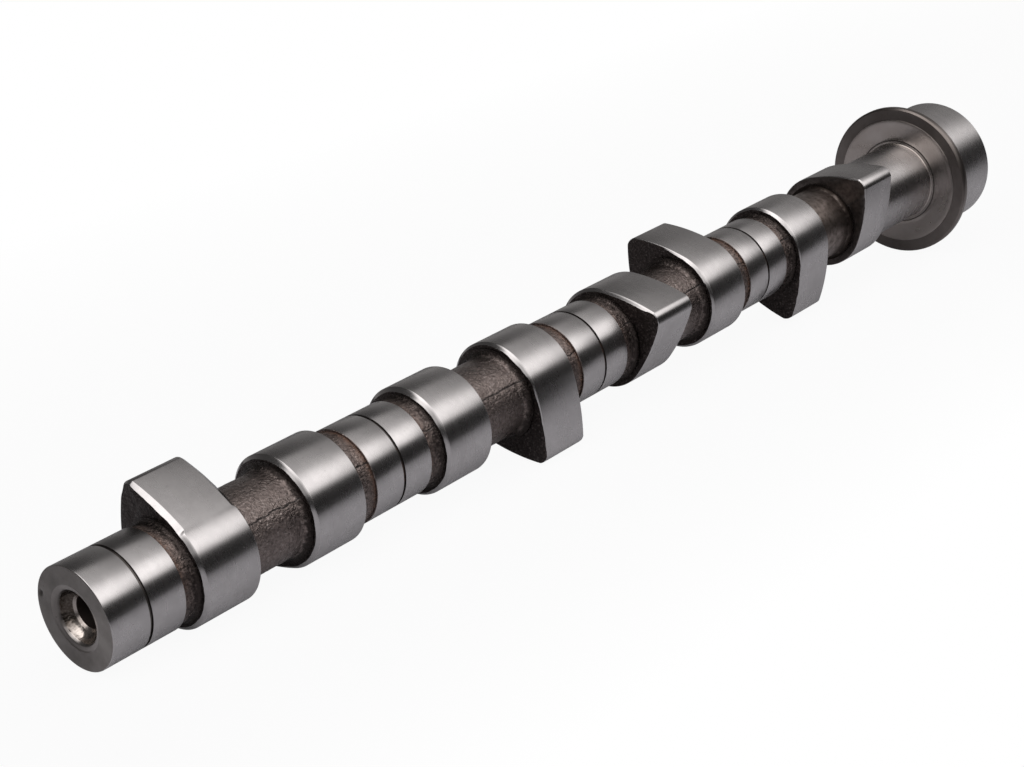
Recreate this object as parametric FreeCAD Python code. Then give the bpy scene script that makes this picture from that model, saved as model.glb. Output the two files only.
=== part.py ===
import FreeCAD, Part
import math
import os

# Overhead camshaft for a four-cylinder engine with two valves to a cylinder.
# It is one iron casting. The journals, cams, thrust flange and drive nose are turned and ground,
# and the waists and the cams' side faces stay as cast.
# Millimetres. The shaft's axis is the X axis, with the middle of journal 1 at X = 0, the plain end on
# the -X side and the drive end on the +X side. +Z is up.
# Angles are degrees round +X, from +Y towards +Z.

# Bearing journals
JOURNAL_DIA = 26.0
JOURNAL_WIDTH = 20.0            # journals 1 to 4, each with one oil groove round its middle
JOURNAL_BEVEL = 0.3
BEARING_PITCH = 82.0            # from one journal's middle to the next
PLAIN_END_REACH = 11.0          # from the middle of journal 1 to the plain end's face
PLAIN_END_BEVEL = 0.45
OIL_GROOVE_WIDTH = 0.8
OIL_GROOVE_DEPTH = 0.55

# Cams, two for each cylinder, between two journals
CYLINDERS = 4
FIRING_ORDER = (1, 3, 4, 2)
CAM_BASE_DIA = 30.0
CAM_LIFT = 7.5
CAM_NOSE_RADIUS = 2.65
CAM_FLANK_RADIUS = 43.3
CAM_LAND = 15.6                 # ground width, between the two bevels
CAM_BEVEL_LENGTH = 0.95         # along the shaft
CAM_BEVEL_HEIGHT = 1.3          # in from the ground outline
FIRST_CAM_GAP = 4.35            # from a journal to the side face of the cam behind it
SECOND_CAM_GAP = 5.1            # from a cylinder's second cam to the next journal
FIRST_CAM_ANGLE = 69.0          # nose of cylinder 1's first cam; the shaft rests this way round
CAM_SEPARATION = 107.5          # a cylinder's second cam stands this far back from its first

# As-cast waists
LONG_WAIST_DIA = 23.0           # between a cylinder's two cams
LONG_WAIST_FILLET = 1.9
SHORT_WAIST_DIA = 24.8          # between a cam and a journal
SHORT_WAIST_FILLET = 1.1
COVE_RUNS = 2                   # straight runs that each hollow corner is drawn with

# Thrust bearing at the drive end
THRUST_JOURNAL_LENGTH = 31.4    # from the last cam to the shoulder
THRUST_JOURNAL_FILLET = 0.8     # where it meets the last cam
SHOULDER_DIA = 29.2
SHOULDER_LENGTH = 1.6           # from the end of its cove to the thrust face
UNDERCUT_WIDTH = 0.7
UNDERCUT_DEPTH = 0.35
THRUST_RING_DIA = 42.8
THRUST_RING_RISE = 0.3          # the ground ring stands this proud of the flange
FLANGE_DIA = 51.1
FLANGE_THICKNESS = 3.1
FLANGE_BEVEL = 0.6

# Drive nose
NOSE_DIA = 42.0
NOSE_LENGTH = 23.4
NOSE_BEVEL = 0.6
NOSE_FILLET = 0.8

# Centre hole in the plain end
DISH_DIA = 15.2
DISH_DEPTH = 0.4
CUP_MOUTH_DIA = 13.8
CUP_THROAT_DIA = 9.4
CUP_DEPTH = 2.9                 # from the end face
CUP_HOLLOW = 0.35               # how far its wall curves outwards
LIP_LENGTH = 0.45
CENTRE_BORE_DIA = 7.8
CENTRE_BORE_LENGTH = 20.0       # full diameter, behind the lip

# Tapped hole and dowel hole in the drive end
DRIVE_THREAD_CORE_DIA = 10.8    # core of an M12 fine thread
DRIVE_THREAD_LENGTH = 24.0      # full diameter, behind the countersink
DRIVE_COUNTERSINK_DIA = 13.4
DOWEL_HOLE_DIA = 6.0
DOWEL_HOLE_DEPTH = 10.0
DOWEL_CIRCLE_DIA = 28.0
DOWEL_ANGLE = 90.0
DRILL_POINT_ANGLE = 118.0

# Stations along the shaft
PLAIN_END_X = -PLAIN_END_REACH
CAM_WIDTH = CAM_LAND + 2 * CAM_BEVEL_LENGTH
LAST_CAM_END = CYLINDERS * BEARING_PITCH - JOURNAL_WIDTH / 2 - SECOND_CAM_GAP
SHOULDER_X = LAST_CAM_END + THRUST_JOURNAL_LENGTH
THRUST_FACE_X = SHOULDER_X + SHOULDER_LENGTH
FLANGE_FRONT_X = THRUST_FACE_X + THRUST_RING_RISE
FLANGE_BACK_X = THRUST_FACE_X + FLANGE_THICKNESS
NOSE_END_X = FLANGE_BACK_X + NOSE_LENGTH


class Section:
    """Half section of a turned shape, drawn point by point as stations along X and radii."""

    def __init__(self, x, radius):
        self.start = self.at(x, radius)
        self.here = self.start
        self.edges = []

    @staticmethod
    def at(x, radius):
        return FreeCAD.Vector(x, 0, radius)

    def line(self, x, radius):
        """Straight run to a point."""
        end = self.at(x, radius)
        if end.distanceToPoint(self.here) > 1e-7:
            self.edges.append(Part.LineSegment(self.here, end).toShape())
            self.here = end
        return self

    def arc(self, x, radius, through_x, through_radius):
        """Arc to a point, through a middle point."""
        end = self.at(x, radius)
        self.edges.append(Part.Arc(self.here, self.at(through_x, through_radius), end).toShape())
        self.here = end
        return self

    def cove_up(self, face_x, size):
        """Hollow corner that ends a plain run and climbs a face that lies ahead."""
        floor = self.here.z
        for step in range(COVE_RUNS + 1):
            turn = math.pi / 2 * step / COVE_RUNS
            self.line(face_x - size * (1 - math.sin(turn)), floor + size * (1 - math.cos(turn)))
        return self

    def cove_down(self, radius, size):
        """Hollow corner from the face at this station down to a plain run of the given radius."""
        face_x = self.here.x
        for step in range(COVE_RUNS + 1):
            turn = math.pi / 2 * step / COVE_RUNS
            self.line(face_x + size * (1 - math.cos(turn)), radius + size * (1 - math.sin(turn)))
        return self

    def turned(self):
        """The closed section turned once round the X axis."""
        self.line(self.here.x, 0).line(self.start.x, 0)
        self.line(self.start.x, self.start.z)
        face = Part.Face(Part.Wire(self.edges))
        return face.revolve(FreeCAD.Vector(0, 0, 0), FreeCAD.Vector(1, 0, 0), 360)


def add_journal(section, middle_x, start_x, bevel):
    """One bearing journal with its oil groove, from start_x to half a width past its middle."""
    radius = JOURNAL_DIA / 2
    end_x = middle_x + JOURNAL_WIDTH / 2
    groove = OIL_GROOVE_WIDTH / 2
    floor = radius - OIL_GROOVE_DEPTH
    section.line(start_x, radius - bevel).line(start_x + bevel, radius)
    section.line(middle_x - groove, radius).line(middle_x - groove, floor)
    section.line(middle_x + groove, floor).line(middle_x + groove, radius)
    section.line(end_x - JOURNAL_BEVEL, radius).line(end_x, radius - JOURNAL_BEVEL)


def cam_starts(cylinder):
    """Stations of the front side faces of one cylinder's two cams."""
    journal_x = (cylinder - 1) * BEARING_PITCH
    first = journal_x + JOURNAL_WIDTH / 2 + FIRST_CAM_GAP
    second = journal_x + BEARING_PITCH - JOURNAL_WIDTH / 2 - SECOND_CAM_GAP - CAM_WIDTH
    return first, second


def cam_angles(cylinder):
    """Nose angles of one cylinder's two cams, which follow the firing order."""
    turn = FIRING_ORDER.index(cylinder) * 360.0 / CYLINDERS
    first = FIRST_CAM_ANGLE + turn
    return first, first - CAM_SEPARATION


def shaft_core():
    """Everything round: journals, waists, thrust bearing, flange and drive nose, in one turned solid."""
    short_radius = SHORT_WAIST_DIA / 2
    long_radius = LONG_WAIST_DIA / 2
    section = Section(PLAIN_END_X, JOURNAL_DIA / 2 - PLAIN_END_BEVEL)
    for cylinder in range(1, CYLINDERS + 1):
        middle_x = (cylinder - 1) * BEARING_PITCH
        if cylinder == 1:
            add_journal(section, middle_x, PLAIN_END_X, PLAIN_END_BEVEL)
        else:
            add_journal(section, middle_x, middle_x - JOURNAL_WIDTH / 2, JOURNAL_BEVEL)
        first, second = cam_starts(cylinder)
        section.line(middle_x + JOURNAL_WIDTH / 2, short_radius)
        section.cove_up(first, SHORT_WAIST_FILLET)
        section.line(first + CAM_WIDTH, section.here.z)
        section.cove_down(long_radius, LONG_WAIST_FILLET)
        section.cove_up(second, LONG_WAIST_FILLET)
        section.line(second + CAM_WIDTH, section.here.z)
        if cylinder < CYLINDERS:
            section.cove_down(short_radius, SHORT_WAIST_FILLET)
            section.line(middle_x + BEARING_PITCH - JOURNAL_WIDTH / 2, short_radius)
    section.cove_down(JOURNAL_DIA / 2, THRUST_JOURNAL_FILLET)
    add_thrust_flange(section)
    section.cove_down(NOSE_DIA / 2, NOSE_FILLET)
    section.line(NOSE_END_X - NOSE_BEVEL, NOSE_DIA / 2)
    section.line(NOSE_END_X, NOSE_DIA / 2 - NOSE_BEVEL)
    return section.turned()


def add_thrust_flange(section):
    """Shoulder with its cove, undercut, ground thrust ring and flange rim."""
    shoulder = SHOULDER_DIA / 2
    ring = THRUST_RING_DIA / 2
    rim = FLANGE_DIA / 2
    section.cove_up(SHOULDER_X, shoulder - JOURNAL_DIA / 2)
    section.line(THRUST_FACE_X + UNDERCUT_DEPTH, shoulder)
    section.line(THRUST_FACE_X + UNDERCUT_DEPTH, shoulder + UNDERCUT_WIDTH)
    section.line(THRUST_FACE_X, shoulder + UNDERCUT_WIDTH)
    section.line(THRUST_FACE_X, ring).line(FLANGE_FRONT_X, ring)
    section.line(FLANGE_FRONT_X, rim - FLANGE_BEVEL).line(FLANGE_FRONT_X + FLANGE_BEVEL, rim)
    section.line(FLANGE_BACK_X - FLANGE_BEVEL, rim).line(FLANGE_BACK_X, rim - FLANGE_BEVEL)


def cam_outline(x, angle, inset):
    """Cam outline at station x: base circle, two round flanks and the nose, each tangent to the next."""
    base = CAM_BASE_DIA / 2
    nose_centre = base + CAM_LIFT - CAM_NOSE_RADIUS
    from_base = CAM_FLANK_RADIUS - base
    from_nose = CAM_FLANK_RADIUS - CAM_NOSE_RADIUS
    along = (from_base ** 2 - from_nose ** 2 + nose_centre ** 2) / (2 * nose_centre)
    across = math.sqrt(from_base ** 2 - along ** 2)
    base_turn = math.atan2(across, -along)
    nose_turn = math.atan2(across, nose_centre - along)

    def point(centre_along, centre_across, radius, turn):
        u = centre_along + (radius - inset) * math.cos(turn)
        v = centre_across + (radius - inset) * math.sin(turn)
        heading = math.radians(angle)
        y = u * math.cos(heading) - v * math.sin(heading)
        z = u * math.sin(heading) + v * math.cos(heading)
        return FreeCAD.Vector(x, y, z)

    def round_edge(centre_along, centre_across, radius, start, end):
        points = [point(centre_along, centre_across, radius, turn)
                  for turn in (start, (start + end) / 2, end)]
        return Part.Arc(*points).toShape()

    flank = CAM_FLANK_RADIUS
    return Part.Wire([
        round_edge(nose_centre, 0, CAM_NOSE_RADIUS, -nose_turn, nose_turn),
        round_edge(along, -across, flank, nose_turn, base_turn),
        round_edge(0, 0, base, base_turn, 2 * math.pi - base_turn),
        round_edge(along, across, flank, -base_turn, -nose_turn),
    ])


def cam(start_x, angle):
    """One cam: a ground land with a bevel at each side."""
    stations = (start_x, start_x + CAM_BEVEL_LENGTH, start_x + CAM_WIDTH - CAM_BEVEL_LENGTH,
                start_x + CAM_WIDTH)
    insets = (CAM_BEVEL_HEIGHT, 0, 0, CAM_BEVEL_HEIGHT)
    outlines = [cam_outline(x, angle, inset) for x, inset in zip(stations, insets)]
    return Part.makeLoft(outlines, True, True)


def drilled_hole(mouth_x, inwards, radius, length):
    """Blind hole along X with the drill's point at its end."""
    point_length = radius / math.tan(math.radians(DRILL_POINT_ANGLE / 2))
    section = Section(mouth_x, radius)
    section.line(mouth_x + inwards * length, radius)
    section.line(mouth_x + inwards * (length + point_length), 0)
    return section.turned()


def centre_hole():
    """Hole in the plain end: shallow dish, hollow-walled cup, narrow lip and drilled bore."""
    dish_x = PLAIN_END_X + DISH_DEPTH
    throat_x = PLAIN_END_X + CUP_DEPTH
    bore_x = throat_x + LIP_LENGTH
    wall_radius = (CUP_MOUTH_DIA + CUP_THROAT_DIA) / 4 + CUP_HOLLOW
    section = Section(PLAIN_END_X, DISH_DIA / 2)
    section.line(dish_x, CUP_MOUTH_DIA / 2)
    section.arc(throat_x, CUP_THROAT_DIA / 2, (dish_x + throat_x) / 2, wall_radius)
    section.line(bore_x, CENTRE_BORE_DIA / 2)
    return section.turned().fuse(drilled_hole(bore_x, 1, CENTRE_BORE_DIA / 2, CENTRE_BORE_LENGTH))


def drive_holes():
    """Tapped hole for the sprocket bolt, countersunk, and the hole for the locating dowel."""
    core = DRIVE_THREAD_CORE_DIA / 2
    countersink = Section(NOSE_END_X, DRIVE_COUNTERSINK_DIA / 2)
    sink_x = NOSE_END_X - (DRIVE_COUNTERSINK_DIA / 2 - core)
    countersink.line(sink_x, core)
    bolt_hole = countersink.turned().fuse(drilled_hole(sink_x, -1, core, DRIVE_THREAD_LENGTH))
    dowel_hole = drilled_hole(NOSE_END_X, -1, DOWEL_HOLE_DIA / 2, DOWEL_HOLE_DEPTH)
    heading = math.radians(DOWEL_ANGLE)
    reach = DOWEL_CIRCLE_DIA / 2
    dowel_hole.translate(FreeCAD.Vector(0, reach * math.cos(heading), reach * math.sin(heading)))
    return bolt_hole.fuse(dowel_hole)


def camshaft():
    """The whole camshaft as one solid."""
    cams = []
    for cylinder in range(1, CYLINDERS + 1):
        for start_x, angle in zip(cam_starts(cylinder), cam_angles(cylinder)):
            cams.append(cam(start_x, angle))
    shaft = shaft_core().multiFuse(cams)
    return shaft.cut(centre_hole()).cut(drive_holes())


def main():
    shaft = camshaft()
    solid = shaft.Solids[0]
    print("solids", len(shaft.Solids), "valid", shaft.isValid(), "volume mm3", round(shaft.Volume, 1))
    os.makedirs("parts", exist_ok=True)
    solid.exportStep("parts/camshaft.step")


main()
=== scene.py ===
"""A camshaft for a four-cylinder engine, dressed for its studio picture.

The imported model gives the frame: metres, the shaft's axis along X, the middle of journal 1 at the origin,
the plain end on the -X side, the drive end on the +X side and +Z up.
Sizes are in millimetres, as on a workshop drawing, and MM turns them into metres.
Angles are in degrees round +X, from +Y towards +Z.
"""

import logging
import math
from dataclasses import dataclass, field
from enum import Enum
from typing import Callable, Sequence

import bmesh
import bpy
import numpy as np
from mathutils import Matrix, Vector, noise


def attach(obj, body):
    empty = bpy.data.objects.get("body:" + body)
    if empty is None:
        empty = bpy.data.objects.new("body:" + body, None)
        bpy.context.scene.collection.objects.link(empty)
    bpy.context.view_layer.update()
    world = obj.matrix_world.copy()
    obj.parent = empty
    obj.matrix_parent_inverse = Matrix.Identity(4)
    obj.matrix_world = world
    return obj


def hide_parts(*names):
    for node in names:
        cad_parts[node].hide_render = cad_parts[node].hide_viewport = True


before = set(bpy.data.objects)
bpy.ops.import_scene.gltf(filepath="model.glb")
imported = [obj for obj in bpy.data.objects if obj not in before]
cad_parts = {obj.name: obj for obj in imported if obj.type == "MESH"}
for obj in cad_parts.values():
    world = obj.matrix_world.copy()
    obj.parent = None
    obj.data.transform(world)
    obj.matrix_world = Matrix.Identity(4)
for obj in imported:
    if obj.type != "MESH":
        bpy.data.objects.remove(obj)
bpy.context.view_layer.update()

MM = 0.001
LOG = logging.getLogger("camshaft")
CAD_NODE = "camshaft"
BODY = "root"
DRILL_HALF_ANGLE = 59.0

Colour = tuple[float, float, float]
Material = bpy.types.Material
Mesh = bpy.types.Mesh
Node = bpy.types.Node
Object = bpy.types.Object
Socket = bpy.types.NodeSocket


class Finish(Enum):
    """The finishes that the part shows, each with the name of its material."""

    GROUND = "ground_steel"
    BEVEL = "bevel_steel"
    CAST = "cast_skin"
    SIDE = "cam_side_skin"
    SCORED = "scored_side"
    TURNED = "turned_waist"
    END = "plain_end_face"
    CUP = "centre_cup"
    DISH = "centre_dish"
    THRUST = "thrust_ring"
    RIM = "flange_rim"
    GROOVE = "oil_groove"
    BORE = "drilled_bore"


FINISHES = list(Finish)


# Sizes of the real thing


@dataclass(frozen=True)
class ShaftSizes:
    """Sizes that more than one piece of the camshaft needs, in millimetres and degrees."""

    journal_radius: float = 13.0
    journal_width: float = 20.0
    journal_bevel: float = 0.12
    pitch: float = 82.0
    plain_end: float = -11.0
    groove_width: float = 0.8
    groove_depth: float = 0.55
    cylinders: int = 4
    firing_order: tuple[int, ...] = (1, 3, 4, 2)
    base_radius: float = 15.0
    lift: float = 7.5
    crest_radius: float = 4.2
    crest_half_angle: float = 22.0
    shoulder_radius: float = 1.6
    flank_radius: float = 60.0
    cam_width: float = 17.5
    bevel_length: float = 0.95
    bevel_height: float = 1.3
    first_gap: float = 4.35
    second_gap: float = 5.1
    first_angle: float = 69.0
    separation: float = 107.5
    long_waist: float = 11.5
    long_fillet: float = 1.9
    short_waist: float = 12.4
    short_fillet: float = 1.1
    parting_angle: float = 151.5

    def cam_starts(self, cylinder: int) -> tuple[float, float]:
        """Stations of the front side faces of one cylinder's two cams.

        Args:
            cylinder: The cylinder's number, from 1.

        Returns:
            The first and the second cam's station.
        """
        journal = (cylinder - 1) * self.pitch
        half = self.journal_width / 2
        second = journal + self.pitch - half - self.second_gap - self.cam_width
        return journal + half + self.first_gap, second

    def cylinder_turn(self, cylinder: int) -> float:
        """How far round one cylinder's cams stand from cylinder 1's, in degrees."""
        return self.firing_order.index(cylinder) * 360.0 / self.cylinders

    @property
    def all_cam_starts(self) -> list[float]:
        """Stations of the front side faces of all the cams, in their order along the shaft."""
        return [start for number in range(self.cylinders) for start in self.cam_starts(number + 1)]

    @property
    def last_cam_end(self) -> float:
        """Station of the back side face of the last cam."""
        return self.cam_starts(self.cylinders)[1] + self.cam_width


# Writing node trees


class NodeSheet:
    """A node tree that is being written: adds nodes, sets their inputs and joins them."""

    nodes_in_row = 12
    node_width = 190.0
    node_height = 260.0

    def __init__(self, tree: bpy.types.NodeTree) -> None:
        """Starts on a tree, which may hold nodes already."""
        self.tree = tree
        self.count = 0

    def add(
        self, kind: str, inputs: dict[str | int, object] | None = None, **settings: object
    ) -> Node:
        """Adds one node.

        Args:
            kind: The node's type.
            inputs: Values or sockets for its inputs, by name or number.
            **settings: The node's own settings.

        Returns:
            The node.
        """
        node = self.tree.nodes.new(kind)
        row, place = divmod(self.count, self.nodes_in_row)
        node.location = (place * self.node_width, -row * self.node_height)
        self.count += 1
        for key, value in settings.items():
            setattr(node, key, value)
        for key, value in (inputs or {}).items():
            self.feed(node.inputs[key], value)
        return node

    def feed(self, socket: Socket, value: object) -> None:
        """Gives an input a value, or joins another node's output to it.

        Args:
            socket: The input.
            value: The value or the output.
        """
        if isinstance(value, Socket):
            self.tree.links.new(value, socket)
        else:
            socket.default_value = value

    def math(self, operation: str, *values: object) -> Socket:
        """Adds one Math node.

        Args:
            operation: What the node works out.
            *values: One to three values or sockets.

        Returns:
            The result.
        """
        node = self.add("ShaderNodeMath", operation=operation)
        for socket, value in zip(node.inputs, values):
            self.feed(socket, value)
        return node.outputs[0]

    def vector(self, operation: str, *values: object) -> Socket:
        """Adds one Vector Math node.

        Args:
            operation: What the node works out.
            *values: One or two vectors or sockets.

        Returns:
            The result, which is a vector.
        """
        node = self.add("ShaderNodeVectorMath", operation=operation)
        for socket, value in zip(node.inputs, values):
            self.feed(socket, value)
        return node.outputs[0]

    def combine(self, x: object, y: object, z: object) -> Socket:
        """A vector from three values or sockets."""
        return self.add("ShaderNodeCombineXYZ", {0: x, 1: y, 2: z}).outputs[0]

    def split(self, vector: Socket) -> tuple[Socket, Socket, Socket]:
        """The three parts of a vector."""
        node = self.add("ShaderNodeSeparateXYZ", {0: vector})
        return node.outputs[0], node.outputs[1], node.outputs[2]

    def noise(self, vector: Socket, scale: object, detail: float, roughness: float = 0.5) -> Socket:
        """Adds a Noise Texture.

        Args:
            vector: Where the noise is read.
            scale: How fine it is.
            detail: How many finer layers it has.
            roughness: How strong the finer layers are.

        Returns:
            Its value, about 0.5 on average.
        """
        node = self.add("ShaderNodeTexNoise", {"Vector": vector, "Scale": scale})
        node.inputs["Detail"].default_value = detail
        node.inputs["Roughness"].default_value = roughness
        return node.outputs[0]

    def blend(self, factor: object, first: object, second: object) -> Socket:
        """Mixes two colours.

        Args:
            factor: The second colour's share.
            first: A colour or a socket.
            second: A colour or a socket.

        Returns:
            The mixed colour.
        """
        node = self.add("ShaderNodeMix", data_type="RGBA")
        self.feed(node.inputs[0], factor)
        for place, colour in ((6, first), (7, second)):
            plain = not isinstance(colour, Socket)
            self.feed(node.inputs[place], (*colour, 1.0) if plain else colour)
        return node.outputs[2]

    def spread(
        self, value: object, low: float, high: float, to_low: float = 0.0, to_high: float = 1.0
    ) -> Socket:
        """Maps a range of values on to another, held at its two ends.

        Args:
            value: The value to map.
            low: One end of its range.
            high: The other end.
            to_low: What the first end becomes.
            to_high: What the other end becomes.

        Returns:
            The mapped value.
        """
        node = self.add("ShaderNodeMapRange", clamp=True)
        for socket, number in zip(node.inputs, (value, low, high, to_low, to_high)):
            self.feed(socket, number)
        return node.outputs[0]


class Effects:
    """Shader node groups that more than one finish uses, each built once."""

    def __init__(self) -> None:
        """Builds every group."""
        self.lines = self.grinding_lines()
        self.rings = self.turning_rings()
        self.grain = self.cast_grain()
        self.clouds = self.cloudy_stain()

    @staticmethod
    def sockets(
        name: str, inputs: dict[str, float], outputs: Sequence[str]
    ) -> tuple[NodeSheet, Node]:
        """Starts a group with a Coordinates input, number inputs and number outputs.

        Args:
            name: The group's name.
            inputs: Number inputs and their values.
            outputs: Names of the outputs.

        Returns:
            The sheet to write the group on, and its input node.
        """
        tree = bpy.data.node_groups.new(name, "ShaderNodeTree")
        tree.interface.new_socket(name="Coordinates", in_out="INPUT", socket_type="NodeSocketVector")
        for label, value in inputs.items():
            made = tree.interface.new_socket(name=label, in_out="INPUT", socket_type="NodeSocketFloat")
            made.default_value = value
        for label in outputs:
            tree.interface.new_socket(name=label, in_out="OUTPUT", socket_type="NodeSocketFloat")
        sheet = NodeSheet(tree)
        return sheet, sheet.add("NodeGroupInput")

    def grinding_lines(self) -> bpy.types.NodeTree:
        """Writes the fine lines round the shaft that the grinding wheel leaves, in two widths.

        Returns:
            The group.
        """
        values = {"Lines": 2600.0, "Stretch": 90.0}
        sheet, given = self.sockets("grinding_lines", values, ("Height", "Sheen"))
        stretch = given.outputs["Stretch"]
        scale = sheet.combine(given.outputs["Lines"], stretch, stretch)
        place = sheet.vector("MULTIPLY", given.outputs["Coordinates"], scale)
        fine = sheet.noise(place, scale=1.0, detail=3.0, roughness=0.6)
        broad = sheet.noise(place, scale=0.21, detail=2.0)
        sheet.add("NodeGroupOutput", {"Height": fine, "Sheen": broad})
        return sheet.tree

    def turning_rings(self) -> bpy.types.NodeTree:
        """Writes the rings round the axis that the turning tool leaves on a face.

        Returns:
            The group.
        """
        sheet, given = self.sockets("turning_rings", {"Rings": 3200.0, "Stretch": 60.0}, ("Height", "Sheen"))
        along, across, up = sheet.split(given.outputs["Coordinates"])
        squares = (sheet.math("POWER", part, 2.0) for part in (across, up))
        radius = sheet.math("SQRT", sheet.math("ADD", *squares))
        step = sheet.math("MULTIPLY", sheet.math("ADD", radius, along), given.outputs["Rings"])
        stretch = given.outputs["Stretch"]
        place = sheet.combine(step, *(sheet.math("MULTIPLY", part, stretch) for part in (across, up)))
        fine = sheet.noise(place, scale=1.0, detail=2.0, roughness=0.55)
        broad = sheet.noise(place, scale=0.16, detail=2.0)
        sheet.add("NodeGroupOutput", {"Height": fine, "Sheen": broad})
        return sheet.tree

    def cast_grain(self) -> bpy.types.NodeTree:
        """Writes the granular skin that the sand mould leaves, with a mottle of light and dark and specks.

        Returns:
            The group.
        """
        sheet, given = self.sockets("cast_grain", {"Grain": 1500.0}, ("Height", "Mottle", "Speck"))
        place, grain = given.outputs["Coordinates"], given.outputs["Grain"]
        pebbles = sheet.add("ShaderNodeTexVoronoi", {"Vector": place, "Scale": grain}, feature="SMOOTH_F1")
        fine = sheet.noise(place, sheet.math("MULTIPLY", grain, 1.7), detail=4.0, roughness=0.65)
        height = sheet.math("ADD", sheet.math("MULTIPLY", pebbles.outputs["Distance"], -0.8), fine)
        mottle = sheet.noise(place, sheet.math("MULTIPLY", grain, 0.7), detail=3.0, roughness=0.7)
        speck = sheet.noise(place, sheet.math("MULTIPLY", grain, 1.1), detail=2.0)
        speck = sheet.spread(speck, 0.56, 0.72)
        sheet.add("NodeGroupOutput", {"Height": height, "Mottle": mottle, "Speck": speck})
        return sheet.tree

    def cloudy_stain(self) -> bpy.types.NodeTree:
        """Writes soft clouds of slightly duller steel, and a few small marks.

        Returns:
            The group.
        """
        sheet, given = self.sockets("cloudy_stain", {"Size": 110.0}, ("Cloud", "Mark"))
        place, size = given.outputs["Coordinates"], given.outputs["Size"]
        cloud = sheet.spread(sheet.noise(place, size, detail=4.0, roughness=0.55), 0.3, 0.7)
        mark = sheet.spread(sheet.noise(place, sheet.math("MULTIPLY", size, 7.0), detail=2.0), 0.70, 0.76)
        sheet.add("NodeGroupOutput", {"Cloud": cloud, "Mark": mark})
        return sheet.tree


class Surface:
    """A material with one Principled shader that is being written."""

    def __init__(self, finish: Finish) -> None:
        """Starts a material.

        Args:
            finish: The finish, which gives the material its name.
        """
        self.material = bpy.data.materials.new(finish.value)
        self.material.use_nodes = True
        self.sheet = NodeSheet(self.material.node_tree)
        self.shader = self.material.node_tree.nodes["Principled BSDF"]
        self.place = self.sheet.add("ShaderNodeTexCoord").outputs["Object"]

    def group(self, tree: bpy.types.NodeTree, **values: float) -> Node:
        """Places a shared effect, with this finish's own values.

        Args:
            tree: The effect's group.
            **values: The group's inputs that differ, by name.

        Returns:
            The group's node.
        """
        node = self.sheet.add("ShaderNodeGroup", node_tree=tree)
        self.sheet.feed(node.inputs["Coordinates"], self.place)
        for label, value in values.items():
            node.inputs[label].default_value = value
        return node

    def attribute(self, name: str) -> Socket:
        """A value that the mesh carries."""
        node = self.sheet.add("ShaderNodeAttribute", attribute_name=name, attribute_type="GEOMETRY")
        return node.outputs["Fac"]

    def bump(self, height: Socket, distance: float) -> Socket:
        """The bumped normal, for a height from 0 to 1 that stands for a distance in metres."""
        return self.sheet.add("ShaderNodeBump", {"Height": height, "Distance": distance}).outputs["Normal"]

    def finish(
        self, colour: object, roughness: object, metallic: object, normal: Socket
    ) -> Material:
        """Feeds the shader.

        Args:
            colour: A colour or a socket.
            roughness: A number or a socket.
            metallic: A number or a socket.
            normal: The bumped normal.

        Returns:
            The finished material.
        """
        self.sheet.feed(self.shader.inputs["Base Color"], colour)
        self.sheet.feed(self.shader.inputs["Roughness"], roughness)
        self.sheet.feed(self.shader.inputs["Metallic"], metallic)
        self.sheet.feed(self.shader.inputs["Normal"], normal)
        return self.material


def shaded(colour: Colour, amount: float) -> Colour:
    """A colour made lighter or darker by a factor."""
    return tuple(min(1.0, part * amount) for part in colour)


@dataclass(frozen=True)
class GroundSteel:
    """Steel from the grinding wheel: bright, with faint lines round the shaft and soft clouds.

    The lines spread its reflections along the shaft.
    """

    finish: Finish
    colour: Colour = (0.50, 0.487, 0.487)
    roughness: float = 0.29
    spread_along: float = 0.85
    line_depth: float = 0.0000022
    line_sheen: float = 0.05
    cloud: float = 0.07
    cloud_sheen: float = -0.03
    patches: float = 0.4
    patch_size: float = 520.0
    patch_shade: float = 0.80
    marks: float = 0.25
    mark_shade: float = 0.55

    def build(self, effects: Effects) -> Material:
        """Writes the material.

        Args:
            effects: The shared node groups.

        Returns:
            The material.
        """
        surface = Surface(self.finish)
        sheet = surface.sheet
        lines = surface.group(effects.lines)
        clouds = surface.group(effects.clouds)
        dull = shaded(self.colour, 1.0 - self.cloud)
        colour = sheet.blend(clouds.outputs["Cloud"], dull, shaded(self.colour, 1.0 + self.cloud))
        patches = surface.group(effects.clouds, Size=self.patch_size)
        patchy = sheet.math("MULTIPLY", patches.outputs["Cloud"], self.patches)
        colour = sheet.blend(patchy, colour, shaded(self.colour, self.patch_shade))
        marked = sheet.math("MULTIPLY", clouds.outputs["Mark"], self.marks)
        colour = sheet.blend(marked, colour, shaded(self.colour, self.mark_shade))
        smoothest = self.roughness - self.line_sheen / 2
        sheen = sheet.math("MULTIPLY_ADD", lines.outputs["Sheen"], self.line_sheen, smoothest)
        roughness = sheet.math("MULTIPLY_ADD", clouds.outputs["Cloud"], self.cloud_sheen, sheen)
        surface.shader.inputs["Anisotropic"].default_value = self.spread_along
        sheet.feed(surface.shader.inputs["Tangent"], sheet.combine(1.0, 0.0, 0.0))
        return surface.finish(colour, roughness, 1.0, surface.bump(lines.outputs["Height"], self.line_depth))


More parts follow.
